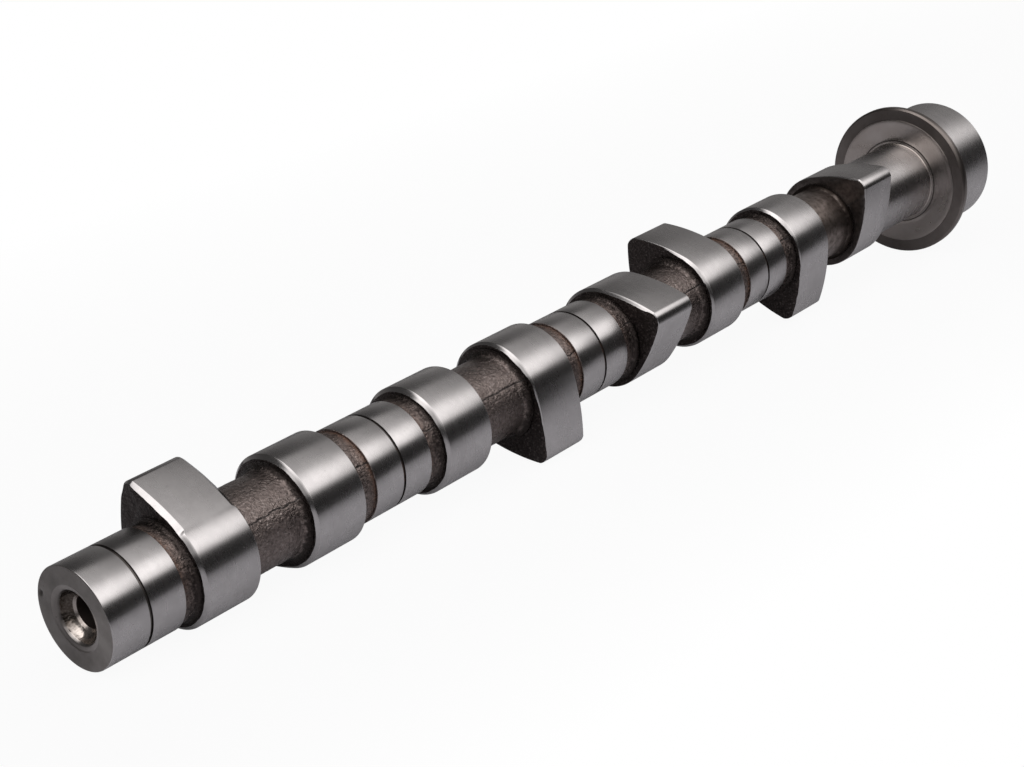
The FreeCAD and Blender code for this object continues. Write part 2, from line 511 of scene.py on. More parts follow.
@dataclass(frozen=True)
class TurnedSteel:
    """Steel from the lathe: duller, with fine rings round the axis, a brownish film, and darker for stain
    and painted shade.
    """

    finish: Finish
    colour: Colour = (0.30, 0.285, 0.275)
    film: Colour = (0.17, 0.15, 0.14)
    roughness: float = 0.34
    ring_depth: float = 0.000006
    ring_sheen: float = 0.14
    film_share: float = 0.5
    cloud_size: float = 160.0
    cloud_sheen: float = 0.06
    marks: float = 0.35
    mark_shade: float = 0.5
    # How dark the brown stain and the painted shade make the steel.
    stain_and_shade_tone: float = 0.35

    def build(self, effects: Effects) -> Material:
        """Writes the material.

        Args:
            effects: The shared node groups.

        Returns:
            The material.
        """
        surface = Surface(self.finish)
        sheet = surface.sheet
        rings = surface.group(effects.rings)
        clouds = surface.group(effects.clouds, Size=self.cloud_size)
        share = sheet.math("MULTIPLY", clouds.outputs["Cloud"], self.film_share)
        colour = sheet.blend(share, self.colour, self.film)
        marked = sheet.math("MULTIPLY", clouds.outputs["Mark"], self.marks)
        colour = sheet.blend(marked, colour, shaded(self.film, self.mark_shade))
        # Darker for the brown stain on the drive end and for painted shade on the plain end and the last
        # waist.
        colour = sheet.blend(surface.attribute("stain"), colour, shaded(self.film, self.stain_and_shade_tone))
        smoothest = self.roughness - self.ring_sheen / 2
        sheen = sheet.math("MULTIPLY_ADD", rings.outputs["Sheen"], self.ring_sheen, smoothest)
        roughness = sheet.math("MULTIPLY_ADD", clouds.outputs["Cloud"], self.cloud_sheen, sheen)
        return surface.finish(colour, roughness, 1.0, surface.bump(rings.outputs["Height"], self.ring_depth))


@dataclass(frozen=True)
class CastSkin:
    """Iron as the mould left it: dark, brownish and granular, with a dark parting line, some rust and
    painted shade.
    """

    finish: Finish
    dark: Colour = (0.122, 0.100, 0.093)
    light: Colour = (0.262, 0.219, 0.205)
    rust: Colour = (0.17, 0.085, 0.05)
    crack: Colour = (0.012, 0.010, 0.010)
    speck: Colour = (0.50, 0.45, 0.43)
    speck_share: float = 0.45
    roughness: float = 0.28
    grain: float = 1600.0
    grain_depth: float = 0.00017
    cloud_size: float = 240.0
    cloud_sheen: float = 0.10
    # How strong and how dark the painted shade is.
    painted_shade_strength: float = 0.9
    stain_and_shade_tone: float = 0.22
    ragged: float = 1.1
    metal_lost: float = 0.7

    def build(self, effects: Effects) -> Material:
        """Writes the material.

        Args:
            effects: The shared node groups.

        Returns:
            The material.
        """
        surface = Surface(self.finish)
        sheet = surface.sheet
        grain = surface.group(effects.grain, Grain=self.grain)
        clouds = surface.group(effects.clouds, Size=self.cloud_size)
        mottle = sheet.spread(grain.outputs["Mottle"], 0.33, 0.67)
        colour = sheet.blend(mottle, self.dark, self.light)
        specks = sheet.math("MULTIPLY", grain.outputs["Speck"], self.speck_share)
        colour = sheet.blend(specks, colour, self.speck)
        rusty = sheet.math("MULTIPLY", surface.attribute("rust"), sheet.spread(mottle, 0.1, 0.7, 0.35, 1.0))
        colour = sheet.blend(rusty, colour, self.rust)
        # Painted shade with a ragged edge, in the corners at the cams and underneath the short waists.
        ragged = sheet.math("MULTIPLY_ADD", grain.outputs["Mottle"], -self.ragged, self.ragged / 2)
        ragged = sheet.math("ADD", surface.attribute("stain"), ragged)
        stain = sheet.spread(ragged, 0.20, 0.85, to_high=self.painted_shade_strength)
        colour = sheet.blend(stain, colour, shaded(self.dark, self.stain_and_shade_tone))
        crack = surface.attribute("crack")
        colour = sheet.blend(crack, colour, self.crack)
        smoothest = self.roughness - self.cloud_sheen / 2
        roughness = sheet.math("MULTIPLY_ADD", clouds.outputs["Cloud"], self.cloud_sheen, smoothest)
        unclean = sheet.math("MAXIMUM", rusty, crack)
        metallic = sheet.math("SUBTRACT", 1.0, sheet.math("MULTIPLY", unclean, self.metal_lost))
        normal = surface.bump(grain.outputs["Height"], self.grain_depth)
        return surface.finish(colour, roughness, metallic, normal)


@dataclass(frozen=True)
class FinishBook:
    """Every finish of the part and the material that stands for it."""

    recipes: tuple[GroundSteel | TurnedSteel | CastSkin, ...] = (
        GroundSteel(Finish.GROUND),
        GroundSteel(Finish.BEVEL, roughness=0.19, spread_along=0.0, cloud=0.08),
        CastSkin(Finish.CAST),
        CastSkin(
            Finish.SIDE,
            dark=(0.028, 0.023, 0.022),
            light=(0.068, 0.056, 0.053),
            speck=(0.40, 0.36, 0.35),
            speck_share=0.28,
            roughness=0.42,
        ),
        TurnedSteel(
            Finish.SCORED,
            colour=(0.15, 0.132, 0.124),
            film=(0.05, 0.043, 0.04),
            roughness=0.34,
            ring_depth=0.00005,
            film_share=0.8,
            cloud_size=700.0,
        ),
        TurnedSteel(
            Finish.TURNED,
            colour=(0.29, 0.248, 0.228),
            film=(0.085, 0.067, 0.058),
            roughness=0.34,
            ring_depth=0.00005,
            film_share=0.9,
            cloud_size=620.0,
        ),
        TurnedSteel(
            Finish.END,
            colour=(0.325, 0.307, 0.292),
            film=(0.17, 0.158, 0.15),
            roughness=0.36,
            film_share=0.8,
        ),
        # Bright steel: it shows only at the cup's foot as a painted highlight, and painted shade covers the
        # rest.
        TurnedSteel(
            Finish.CUP,
            colour=(0.62, 0.57, 0.53),
            film=(0.20, 0.165, 0.14),
            roughness=0.22,
            film_share=0.4,
        ),
        TurnedSteel(Finish.DISH, colour=(0.44, 0.415, 0.40), film=(0.24, 0.22, 0.21), roughness=0.30),
        TurnedSteel(
            Finish.THRUST,
            colour=(0.44, 0.405, 0.385),
            film=(0.32, 0.275, 0.245),
            roughness=0.22,
            ring_depth=0.00001,
        ),
        TurnedSteel(
            Finish.RIM,
            colour=(0.20, 0.18, 0.17),
            film=(0.11, 0.093, 0.084),
            roughness=0.28,
            ring_depth=0.00001,
        ),
        # Painted shade: the steel in the oil grooves and the undercut is made much darker than the
        # journals'.
        TurnedSteel(Finish.GROOVE, colour=(0.16, 0.147, 0.14), film=(0.055, 0.047, 0.042), roughness=0.34),
        # Painted shade: the drilled steel of the bore and the thread is made very dark.
        TurnedSteel(Finish.BORE, colour=(0.12, 0.10, 0.09), film=(0.05, 0.04, 0.035), roughness=0.45),
    )
    made: dict[Finish, Material] = field(default_factory=dict)

    def write(self) -> None:
        """Writes all the materials, with the effects that they share."""
        effects = Effects()
        for recipe in self.recipes:
            self.made[recipe.finish] = recipe.build(effects)


# Turned pieces


@dataclass(frozen=True)
class Strip:
    """The run from one point of a half section to the next."""

    finish: Finish
    step: float = 0.0


class HalfSection:
    """Half section of a turned piece, drawn point by point as stations and radii."""

    cove_steps = 7
    least_turn = 30.0
    most_eased = 0.35

    def __init__(self, x: float, radius: float) -> None:
        """Starts at a point."""
        self.points: list[tuple[float, float]] = [(x, radius)]
        self.strips: list[Strip] = []

    def run(self, x: float, radius: float, finish: Finish, step: float = 0.0) -> "HalfSection":
        """Adds a straight run to a point.

        Args:
            x: The point's station.
            radius: The point's radius.
            finish: The finish of the run.
            step: The mesh divides the run into lengths of about this, and leaves it whole at 0.

        Returns:
            This section.
        """
        self.points.append((x, radius))
        self.strips.append(Strip(finish, step))
        return self

    def path(self, finish: Finish, *points: tuple[float, float]) -> "HalfSection":
        """Adds straight runs of one finish.

        Args:
            finish: The finish.
            *points: The points' stations and radii.

        Returns:
            This section.
        """
        for x, radius in points:
            self.run(x, radius, finish)
        return self

    def arc(self, x: float, radius: float, sag: float, finish: Finish, steps: int) -> "HalfSection":
        """Adds a shallow curve to a point.

        Args:
            x: The point's station.
            radius: The point's radius.
            sag: How far the curve stands off its chord, to the left of the way it runs.
            finish: The finish of the curve.
            steps: How many straight runs stand for it.

        Returns:
            This section.
        """
        x0, r0 = self.points[-1]
        along, out = x - x0, radius - r0
        length = math.hypot(along, out)
        for step in range(1, steps + 1):
            share = step / steps
            off = 4.0 * sag * share * (1.0 - share) / length
            self.run(x0 + along * share - out * off, r0 + out * share + along * off, finish)
        return self

    def cove_up(self, face: float, size: float, finish: Finish, step: float = 0.0) -> "HalfSection":
        """Adds a run along the waist, then a hollow quarter circle that climbs a face ahead.

        Args:
            face: The face's station.
            size: The quarter circle's radius.
            finish: The finish of both.
            step: The mesh divides the run into lengths of about this, and leaves it whole at 0.

        Returns:
            This section.
        """
        floor = self.points[-1][1]
        self.run(face - size, floor, finish, step)
        for count in range(1, self.cove_steps + 1):
            turn = math.pi / 2 * count / self.cove_steps
            self.run(face - size * (1 - math.sin(turn)), floor + size * (1 - math.cos(turn)), finish)
        return self

    def cove_down(
        self, floor: float, size: float, finish: Finish, steps: int = cove_steps
    ) -> "HalfSection":
        """Adds a hollow quarter circle from a face at this station down to a waist.

        Args:
            floor: The waist's radius.
            size: The quarter circle's radius.
            finish: Its finish.
            steps: How many straight runs stand for it.

        Returns:
            This section.
        """
        face = self.points[-1][0]
        self.run(face, floor + size, finish)
        for count in range(1, steps + 1):
            turn = math.pi / 2 * count / steps
            self.run(face + size * (1 - math.cos(turn)), floor + size * (1 - math.sin(turn)), finish)
        return self

    def eased(self, size: float) -> "HalfSection":
        """The same section with its corners eased, as a wheel or a cloth leaves them.

        Args:
            size: How far from a corner the easing starts, at most.

        Returns:
            A new section. Its slight corners are as they were.
        """
        made = HalfSection(*self.points[0])
        for before, here, after, strip, ahead in zip(
            self.points, self.points[1:], self.points[2:], self.strips, self.strips[1:]
        ):
            back = Vector((before[0] - here[0], before[1] - here[1]))
            forth = Vector((after[0] - here[0], after[1] - here[1]))
            corner = 180.0 - math.degrees(back.angle(forth, math.pi))
            if corner < self.least_turn:
                made.run(*here, strip.finish, strip.step)
                continue
            point = Vector(here)
            start = point + back.normalized() * min(size, back.length * self.most_eased)
            end = point + forth.normalized() * min(size, forth.length * self.most_eased)
            middle = (start + end + 2 * point) / 4
            made.run(*start, strip.finish, strip.step)
            made.run(*middle, strip.finish)
            made.run(*end, ahead.finish)
        return made.run(*self.points[-1], self.strips[-1].finish, self.strips[-1].step)

    def rows(self) -> tuple[list[tuple[float, float]], list[Finish]]:
        """The mesh's rows, with the long strips divided.

        Returns:
            The station and radius of each row, and the finish of each strip between them.
        """
        rows = [self.points[0]]
        finishes: list[Finish] = []
        for start, end, strip in zip(self.points, self.points[1:], self.strips):
            length = math.hypot(end[0] - start[0], end[1] - start[1])
            parts = max(1, math.ceil(length / strip.step)) if strip.step > 0 else 1
            for part in range(1, parts + 1):
                share = part / parts
                rows.append((start[0] + (end[0] - start[0]) * share, start[1] + (end[1] - start[1]) * share))
                finishes.append(strip.finish)
        return rows, finishes


Shape = Callable[[float, float, float, Finish], tuple[float, dict[str, float]]]
Layers = tuple[tuple[float, float], ...]

LEAST_RADIUS = 1e-6


def layered_noise(place: Vector, layers: Layers) -> float:
    """Sum of some layers of noise at a place, each with its height and its fineness."""
    return sum(height * noise.noise(place * fineness) for height, fineness in layers)


def heading_of(point: Sequence[float]) -> float:
    """The angle round the shaft at which a point lies, from 0 to 360 degrees."""
    return math.degrees(math.atan2(point[2], point[1])) % 360.0


def even_headings(count: int) -> list[float]:
    """Angles evenly spread round the shaft, in degrees."""
    return [360.0 * step / count for step in range(count)]


def turned_mesh(
    name: str,
    section: HalfSection,
    headings: Sequence[float],
    ring: bool = False,
    shape: Shape | None = None,
) -> Mesh:
    """Turns a half section round the shaft's axis.

    Args:
        name: The mesh's name.
        section: The half section, drawn so that the piece lies on its right.
        headings: The angles of the mesh's columns.
        ring: The last point joins the first one. Otherwise both ends lie on the axis.
        shape: Gives how far a point moves outwards and the values that it carries, from its station, radius,
            heading and finish.

    Returns:
        A closed mesh with a finish number on each face, called zone.
    """
    rows, finishes = section.rows()
    if ring:
        rows = rows[:-1]
    points: list[tuple[float, float, float]] = []
    carried: list[dict[str, float]] = []
    places: list[list[int]] = []
    for number, (x, radius) in enumerate(rows):
        finish = finishes[min(number, len(finishes) - 1)]
        columns = headings if radius > LEAST_RADIUS else headings[:1]
        places.append([])
        for heading in columns:
            off, values = shape(x, radius, heading, finish) if shape else (0.0, {})
            turn = math.radians(heading)
            reach = max(0.0, radius + off) * MM
            places[-1].append(len(points))
            points.append((x * MM, reach * math.cos(turn), reach * math.sin(turn)))
            carried.append(values)
    faces: list[tuple[int, ...]] = []
    zones: list[int] = []
    count = len(headings)
    for number, finish in enumerate(finishes):
        first, second = places[number], places[(number + 1) % len(places)]
        for step in range(count):
            ahead = (step + 1) % count
            if len(first) == 1:
                faces.append((first[0], second[ahead], second[step]))
            elif len(second) == 1:
                faces.append((first[step], first[ahead], second[0]))
            else:
                faces.append((first[step], first[ahead], second[ahead], second[step]))
            zones.append(FINISHES.index(finish))
    mesh = bpy.data.meshes.new(name)
    mesh.from_pydata(points, [], faces)
    carry(mesh, "zone", zones, "INT", "FACE")
    for label in sorted({key for values in carried for key in values}):
        carry(mesh, label, [values.get(label, 0.0) for values in carried])
    return mesh


def carry(
    mesh: Mesh, label: str, values: Sequence[float], kind: str = "FLOAT", part: str = "POINT"
) -> None:
    """Gives a mesh a named value on each of its points or faces."""
    mesh.attributes.new(label, kind, part).data.foreach_set("value", values)


def stand(name: str, data: bpy.types.ID) -> Object:
    """Makes an object and stands it in the scene.

    Args:
        name: The object's name.
        data: Its mesh or its camera.

    Returns:
        The object.
    """
    made = bpy.data.objects.new(name, data)
    bpy.context.scene.collection.objects.link(made)
    return made


def worked(blank: Object) -> Mesh:
    """Applies an object's modifiers, and takes the object away.

    Args:
        blank: The object.

    Returns:
        The result as a plain mesh.
    """
    graph = bpy.context.evaluated_depsgraph_get()
    made = bpy.data.meshes.new_from_object(blank.evaluated_get(graph), depsgraph=graph)
    blank.modifiers.clear()
    bpy.data.objects.remove(blank)
    return made


def volume(mesh: Mesh) -> float:
    """Signed volume of a mesh.

    Args:
        mesh: The mesh, in metres.

    Returns:
        Its volume in cubic millimetres, over zero when its faces point outwards.
    """
    work = bmesh.new()
    work.from_mesh(mesh)
    found = work.calc_volume(signed=True)
    work.free()
    return found / MM**3


class Bench:
    """Turns finished meshes into pieces of the part, dressed and tied to the frame."""

    def __init__(self, book: FinishBook) -> None:
        """Keeps the book of finishes at hand."""
        self.book = book

    def piece(self, name: str, mesh: Mesh, sharp: float = 32.0) -> Object:
        """Makes one piece from a mesh whose faces carry a zone number.

        Args:
            name: The piece's name.
            mesh: The mesh, in metres and in place.
            sharp: Edges that turn more than this many degrees shade as edges.

        Returns:
            The piece's object.
        """
        mesh.name = name
        if "zone" in mesh.attributes:
            zones = np.zeros(len(mesh.polygons), dtype=np.int32)
            mesh.attributes["zone"].data.foreach_get("value", zones)
            used = sorted(set(zones.tolist()))
            mesh.materials.clear()
            for zone in used:
                mesh.materials.append(self.book.made[FINISHES[zone]])
            mesh.polygons.foreach_set("material_index", np.searchsorted(used, zones).astype(np.int32))
            mesh.attributes.remove(mesh.attributes["zone"])
        mesh.polygons.foreach_set("use_smooth", [True] * len(mesh.polygons))
        mesh.set_sharp_from_angle(angle=math.radians(sharp))
        mesh.update()
        piece = stand(name, mesh)
        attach(piece, BODY)
        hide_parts(CAD_NODE)
        triangles = sum(len(face.vertices) - 2 for face in mesh.polygons)
        LOG.info("%s: %d triangles, %.0f cubic mm", name, triangles, volume(mesh))
        return piece


# Geometry Nodes


class Recipe:
    """A Geometry Nodes tree that is being written, with named inputs for its sizes."""

    def __init__(self, name: str) -> None:
        """Starts a tree that takes a mesh and gives one back.

        Args:
            name: The tree's name.
        """
        self.tree = bpy.data.node_groups.new(name, "GeometryNodeTree")
        self.tree.is_modifier = True
        self.tree.interface.new_socket(name="Blank", in_out="INPUT", socket_type="NodeSocketGeometry")
        self.tree.interface.new_socket(name="Made", in_out="OUTPUT", socket_type="NodeSocketGeometry")
        self.sheet = NodeSheet(self.tree)
        self.given = self.sheet.add("NodeGroupInput")
        self.values: dict[str, float | int] = {}

    def size(self, label: str, value: float | int) -> Socket:
        """Adds a named input with its value.

        Args:
            label: The input's name.
            value: Its value, a length in metres or an angle in radians.

        Returns:
            The input, inside the tree.
        """
        kind = "NodeSocketInt" if isinstance(value, int) else "NodeSocketFloat"
        self.tree.interface.new_socket(name=label, in_out="INPUT", socket_type=kind)
        self.values[label] = value
        return self.given.outputs[label]

    def carried(self, name: str, kind: str = "FLOAT") -> Socket:
        """A value that the blank carries."""
        node = self.sheet.add("GeometryNodeInputNamedAttribute", {"Name": name}, data_type=kind)
        return node.outputs[0]

    def choose(self, index: Socket, values: Sequence[object]) -> Socket:
        """Adds a choice among values.

        Args:
            index: Which value is wanted, from 0.
            values: The values or sockets.

        Returns:
            The value at the index.
        """
        node = self.sheet.add("GeometryNodeIndexSwitch", data_type="FLOAT")
        while len(node.index_switch_items) < len(values):
            node.index_switch_items.new()
        self.sheet.feed(node.inputs[0], index)
        for place, value in enumerate(values):
            self.sheet.feed(node.inputs[place + 1], value)
        return node.outputs[0]

    def dress(self, geometry: Socket, book: FinishBook, finishes: Sequence[Finish]) -> None:
        """Ends the tree: real meshes, each face with the material of its zone.

        Args:
            geometry: The finished shape.
            book: The finishes and their materials.
            finishes: The finishes that its zones stand for.
        """
        geometry = self.sheet.add("GeometryNodeRealizeInstances", {0: geometry}).outputs[0]
        zone = self.carried("zone", "INT")
        for finish in finishes:
            same = self.sheet.add("FunctionNodeCompare", data_type="INT", operation="EQUAL")
            self.sheet.feed(same.inputs[2], zone)
            same.inputs[3].default_value = FINISHES.index(finish)
            chosen = {"Geometry": geometry, "Selection": same.outputs[0], "Material": book.made[finish]}
            geometry = self.sheet.add("GeometryNodeSetMaterial", chosen).outputs[0]
        self.sheet.add("NodeGroupOutput", {0: geometry})

    def bake(self, blank: Mesh) -> Mesh:
        """Runs the tree on a blank.

        Args:
            blank: The mesh that the tree starts from.

        Returns:
            The result as a plain mesh.
        """
        holder = stand(self.tree.name, blank)
        modifier = holder.modifiers.new(self.tree.name, "NODES")
        modifier.node_group = self.tree
        for item in self.tree.interface.items_tree:
            if item.item_type == "SOCKET" and item.name in self.values:
                modifier[item.identifier] = self.values[item.name]
        made = worked(holder)
        bpy.data.meshes.remove(blank)
        return made


# The cams


Knots = tuple[tuple[float, float], ...]


def round_the_shaft(knots: Knots, angle: float) -> float:
    """A value that changes smoothly round the shaft.

    Args:
        knots: Angles in degrees, in rising order, each with the value there.
        angle: The angle asked for, from 0 to 360.

    Returns:
        The value at that angle, or 0 without any knots.
    """
    turns = [(at + turn, value) for turn in (-360.0, 0.0, 360.0) for at, value in knots]
    for (start, first), (end, last) in zip(turns, turns[1:]):
        if start <= angle < end:
            blend = (angle - start) / (end - start)
            return first + (last - first) * blend * blend * (3.0 - 2.0 * blend)
    return 0.0


@dataclass(frozen=True)
class CamFace:
    """How the grinding left one cam's bevels: shares of the drawn width, and a reach over the cam in mm."""

    widths: Knots
    reach: Knots = ()
    scored: bool = False


@dataclass(frozen=True)
class Cams:
    """The eight cams: base circle, two round flanks, two shoulders and crest, each tangent to the next."""

    sizes: ShaftSizes
    bore: float = 9.5
    crest_columns: int = 12
    shoulder_columns: int = 12
    flank_columns: int = 46
    base_columns: int = 124
    side_rows: int = 10
    corner: float = 0.07
    corner_rows: tuple[tuple[float, float], ...] = ((-1.0, 1.0), (0.3, 0.2), (1.6, 0.0))
    side_lumps: Layers = ((0.09, 0.28), (0.045, 1.1))
    mould_step: float = 0.04
    deepest: float = 0.94
    side_fade: float = 2.5
    faces: tuple[CamFace, ...] = (
        CamFace(
            (
                (20.0, 0.10),
                (58.0, 0.10),
                (68.0, 0.32),
                (75.0, 0.62),
                (90.0, 0.74),
                (142.0, 0.85),
                (230.0, 0.9),
                (320.0, 0.6),
            ),
            ((58.0, 0.0), (66.0, 0.50), (127.0, 0.62), (132.0, 0.0)),
        ),
        CamFace(((60.0, 0.70), (110.0, 0.85), (230.0, 0.80), (300.0, 0.2), (340.0, 0.2))),
        CamFace(((60.0, 0.75), (110.0, 0.90), (230.0, 0.80), (310.0, 0.2), (360.0, 0.2))),
        CamFace(
            (
                (80.0, 0.50),
                (112.0, 0.68),
                (130.0, 0.85),
                (165.0, 0.45),
                (200.0, 0.32),
                (232.0, 0.15),
                (250.0, 0.15),
            )
        ),
        CamFace(((20.0, 0.60), (95.0, 0.60), (145.0, 0.65), (160.0, 0.30), (172.0, 0.06), (230.0, 0.10))),
        CamFace(((30.0, 0.12), (78.0, 0.16), (104.0, 0.52), (130.0, 0.66), (200.0, 0.66), (300.0, 0.5))),
        CamFace(
            (
                (80.0, 0.48),
                (112.0, 0.62),
                (130.0, 0.78),
                (165.0, 0.40),
                (205.0, 0.22),
                (250.0, 0.12),
                (270.0, 0.12),
            )
        ),
        CamFace(
            ((20.0, 0.20), (110.0, 0.10), (134.0, 0.34), (146.0, 0.30), (160.0, 0.08), (230.0, 0.12)),
            scored=True,
        ),
    )

    def section_rows(self) -> list[tuple[float, float, float, Finish]]:
        """Rows round a cam's section.

        Returns:
            For each row its station, its inset from the ground outline, how far it has sunk towards the
            bore, from 0 to 1, and the finish of the strip after it.
        """
        size = self.sizes
        length, height, ease = size.bevel_length, size.bevel_height, self.corner
        slope = height / length
        front: list[tuple[float, float, float, Finish]] = []
        for step in range(self.side_rows):
            front.append((0.0, height, 1.0 - step / self.side_rows, Finish.SIDE))
        front.append((0.0, height, 0.0, Finish.BEVEL))
        front.append((length / 2, height / 2, 0.0, Finish.BEVEL))
        for past, left in self.corner_rows:
            finish = Finish.BEVEL if past < 0 else Finish.GROUND
            front.append((length + ease * past, ease * slope * left, 0.0, finish))
        back = [(size.cam_width - x, inset, sink, finish) for x, inset, sink, finish in reversed(front)]
        finishes = [row[3] for row in front]
        middle = (size.cam_width / 2, 0.0, 0.0, Finish.GROUND)
        rows = front + [middle] + back
        mirrored = [Finish.GROUND] + finishes[::-1][1:] + [Finish.SIDE]
        kept = finishes + [Finish.GROUND] + mirrored
        return [(x, inset, sink, finish) for (x, inset, sink, _), finish in zip(rows, kept)]

    def columns(self) -> list[tuple[int, float]]:
        """Columns round the outline.

        Returns:
            For each column which of the six arcs it is on, and the share of the arc that has passed.
        """
        shoulder, flank = self.shoulder_columns, self.flank_columns
        counts = (self.crest_columns, shoulder, flank, self.base_columns, flank, shoulder)
        return [(arc, step / count) for arc, count in enumerate(counts) for step in range(count)]

    def blank(self) -> Mesh:
        """Lays out a closed net of rows and columns.

        Returns:
            The net, which carries what the recipe needs to place each point.
        """
        rows, columns = self.section_rows(), self.columns()
        count = len(columns)
        faces, zones = [], []
        for number, row in enumerate(rows):
            first, second = number * count, (number + 1) % len(rows) * count
            for step in range(count):
                ahead = (step + 1) % count
                faces.append((first + step, first + ahead, second + ahead, second + step))
                zones.append(FINISHES.index(row[3]))
        mesh = bpy.data.meshes.new("cam_blank")
        mesh.from_pydata([(row[0] * MM, step * MM, 0.0) for row in rows for step in range(count)], [], faces)
        carry(mesh, "zone", zones, "INT", "FACE")
        carry(mesh, "arc", [arc for _ in rows for arc, _ in columns], "INT")
        carry(mesh, "share", [share for _ in rows for _, share in columns])
        carry(mesh, "station", [row[0] * MM for row in rows for _ in columns])
        carry(mesh, "inset", [row[1] * MM for row in rows for _ in columns])
        carry(mesh, "sink", [row[2] for row in rows for _ in columns])
        return mesh

    def recipe(self, book: FinishBook) -> Recipe:
        """Writes the tree that shapes one cam by its rule and sets eight of them round the shaft.

        Args:
            book: The finishes and their materials.

        Returns:
            The tree.
        """
        size = self.sizes
        recipe = Recipe("cam_row")
        sheet = recipe.sheet
        base = recipe.size("Base Radius", size.base_radius * MM)
        lift = recipe.size("Lift", size.lift * MM)
        crest = recipe.size("Crest Radius", size.crest_radius * MM)
        crest_turn = recipe.size("Crest Half Angle", math.radians(size.crest_half_angle))
        shoulder = recipe.size("Shoulder Radius", size.shoulder_radius * MM)
        flank = recipe.size("Flank Radius", size.flank_radius * MM)
        bore = recipe.size("Bore Radius", self.bore * MM)
        crest_u = sheet.math("SUBTRACT", sheet.math("ADD", base, lift), crest)
        step = sheet.math("SUBTRACT", crest, shoulder)
        shoulder_u = sheet.math("MULTIPLY_ADD", step, sheet.math("COSINE", crest_turn), crest_u)
        shoulder_v = sheet.math("MULTIPLY", step, sheet.math("SINE", crest_turn))
        square = sheet.math("MULTIPLY", shoulder_v, shoulder_v)
        away = sheet.math("MULTIPLY_ADD", shoulder_u, shoulder_u, square)
        from_base = sheet.math("SUBTRACT", flank, base)
        from_shoulder = sheet.math("SUBTRACT", flank, shoulder)
        squares = [sheet.math("MULTIPLY", value, value) for value in (from_base, from_shoulder)]
        bend = sheet.math("ADD", sheet.math("SUBTRACT", squares[1], squares[0]), away)
        bend = sheet.math("DIVIDE", bend, sheet.math("MULTIPLY", from_shoulder, 2.0))
        bend = sheet.math("ARCCOSINE", sheet.math("DIVIDE", bend, sheet.math("SQRT", away)))
        flank_turn = sheet.math("ADD", sheet.math("ARCTAN2", shoulder_v, shoulder_u), bend)
        back = sheet.math("MULTIPLY", from_shoulder, -1.0)
        flank_u = sheet.math("MULTIPLY_ADD", back, sheet.math("COSINE", flank_turn), shoulder_u)
        flank_v = sheet.math("MULTIPLY_ADD", back, sheet.math("SINE", flank_turn), shoulder_v)
        opposite = (sheet.math("MULTIPLY", value, -1.0) for value in (flank_v, flank_u))
        base_turn = sheet.math("ARCTAN2", *opposite)
        turns = (crest_turn, flank_turn, base_turn)
        minus_crest, minus_flank, minus_base = (sheet.math("MULTIPLY", turn, -1.0) for turn in turns)
        round_base = sheet.math("SUBTRACT", math.tau, base_turn)
        arc = recipe.carried("arc", "INT")
        start = recipe.choose(arc, (minus_crest, crest_turn, flank_turn, base_turn, minus_base, minus_flank))
        end = recipe.choose(arc, (crest_turn, flank_turn, base_turn, round_base, minus_flank, minus_crest))
        turn = sheet.math("MULTIPLY_ADD", sheet.math("SUBTRACT", end, start), recipe.carried("share"), start)
        radius = recipe.choose(arc, (crest, shoulder, flank, base, flank, shoulder))
        centre_u = recipe.choose(arc, (crest_u, shoulder_u, flank_u, 0.0, flank_u, shoulder_u))
        others = [sheet.math("MULTIPLY", value, -1.0) for value in (flank_v, shoulder_v)]
        centre_v = recipe.choose(arc, (0.0, shoulder_v, flank_v, 0.0, *others))
        reach = sheet.math("SUBTRACT", radius, recipe.carried("inset"))
        u = sheet.math("MULTIPLY_ADD", reach, sheet.math("COSINE", turn), centre_u)
        v = sheet.math("MULTIPLY_ADD", reach, sheet.math("SINE", turn), centre_v)
        outline = sheet.combine(0.0, u, v)
        way = sheet.vector("NORMALIZE", outline)
        inner = sheet.add("ShaderNodeVectorMath", {0: way}, operation="SCALE")
        sheet.feed(inner.inputs["Scale"], bore)
        sunk = sheet.add("ShaderNodeMix", data_type="VECTOR")
        sheet.feed(sunk.inputs[0], recipe.carried("sink"))
        sheet.feed(sunk.inputs[4], outline)
        sheet.feed(sunk.inputs[5], inner.outputs[0])
        place = sheet.vector("ADD", sunk.outputs[1], sheet.combine(recipe.carried("station"), 0.0, 0.0))
        moved = {"Geometry": recipe.given.outputs["Blank"], "Position": place}
        cam = sheet.add("GeometryNodeSetPosition", moved)
        count = recipe.size("Cylinders", size.cylinders)
        pitch = recipe.size("Cylinder Pitch", size.pitch * MM)
        first_angle = recipe.size("First Cam Angle", math.radians(size.first_angle))
        separation = recipe.size("Cam Separation", math.radians(size.separation))
        turns = [math.radians(size.cylinder_turn(number)) for number in range(1, size.cylinders + 1)]
        number = sheet.add("GeometryNodeInputIndex").outputs[0]
        first = sheet.math("ADD", first_angle, recipe.choose(number, turns))
        headings = (first, sheet.math("SUBTRACT", first, separation))
        joined = sheet.add("GeometryNodeJoinGeometry")
        for which in (1, 0):
            label = ("First Cam Station", "Second Cam Station")[which]
            station = recipe.size(label, size.cam_starts(1)[which] * MM)
            line = sheet.add("GeometryNodeMeshLine", {"Count": count}, mode="OFFSET")
            sheet.feed(line.inputs["Start Location"], sheet.combine(station, 0.0, 0.0))
            sheet.feed(line.inputs["Offset"], sheet.combine(pitch, 0.0, 0.0))
            turn = {"Axis": (1.0, 0.0, 0.0), "Angle": headings[which]}
            turned = sheet.add("FunctionNodeAxisAngleToRotation", turn)
            placed = {"Points": line.outputs[0], "Instance": cam.outputs[0], "Rotation": turned.outputs[0]}
            sheet.feed(joined.inputs[0], sheet.add("GeometryNodeInstanceOnPoints", placed).outputs[0])
        recipe.dress(joined.outputs[0], book, (Finish.SIDE, Finish.BEVEL, Finish.GROUND))
        return recipe

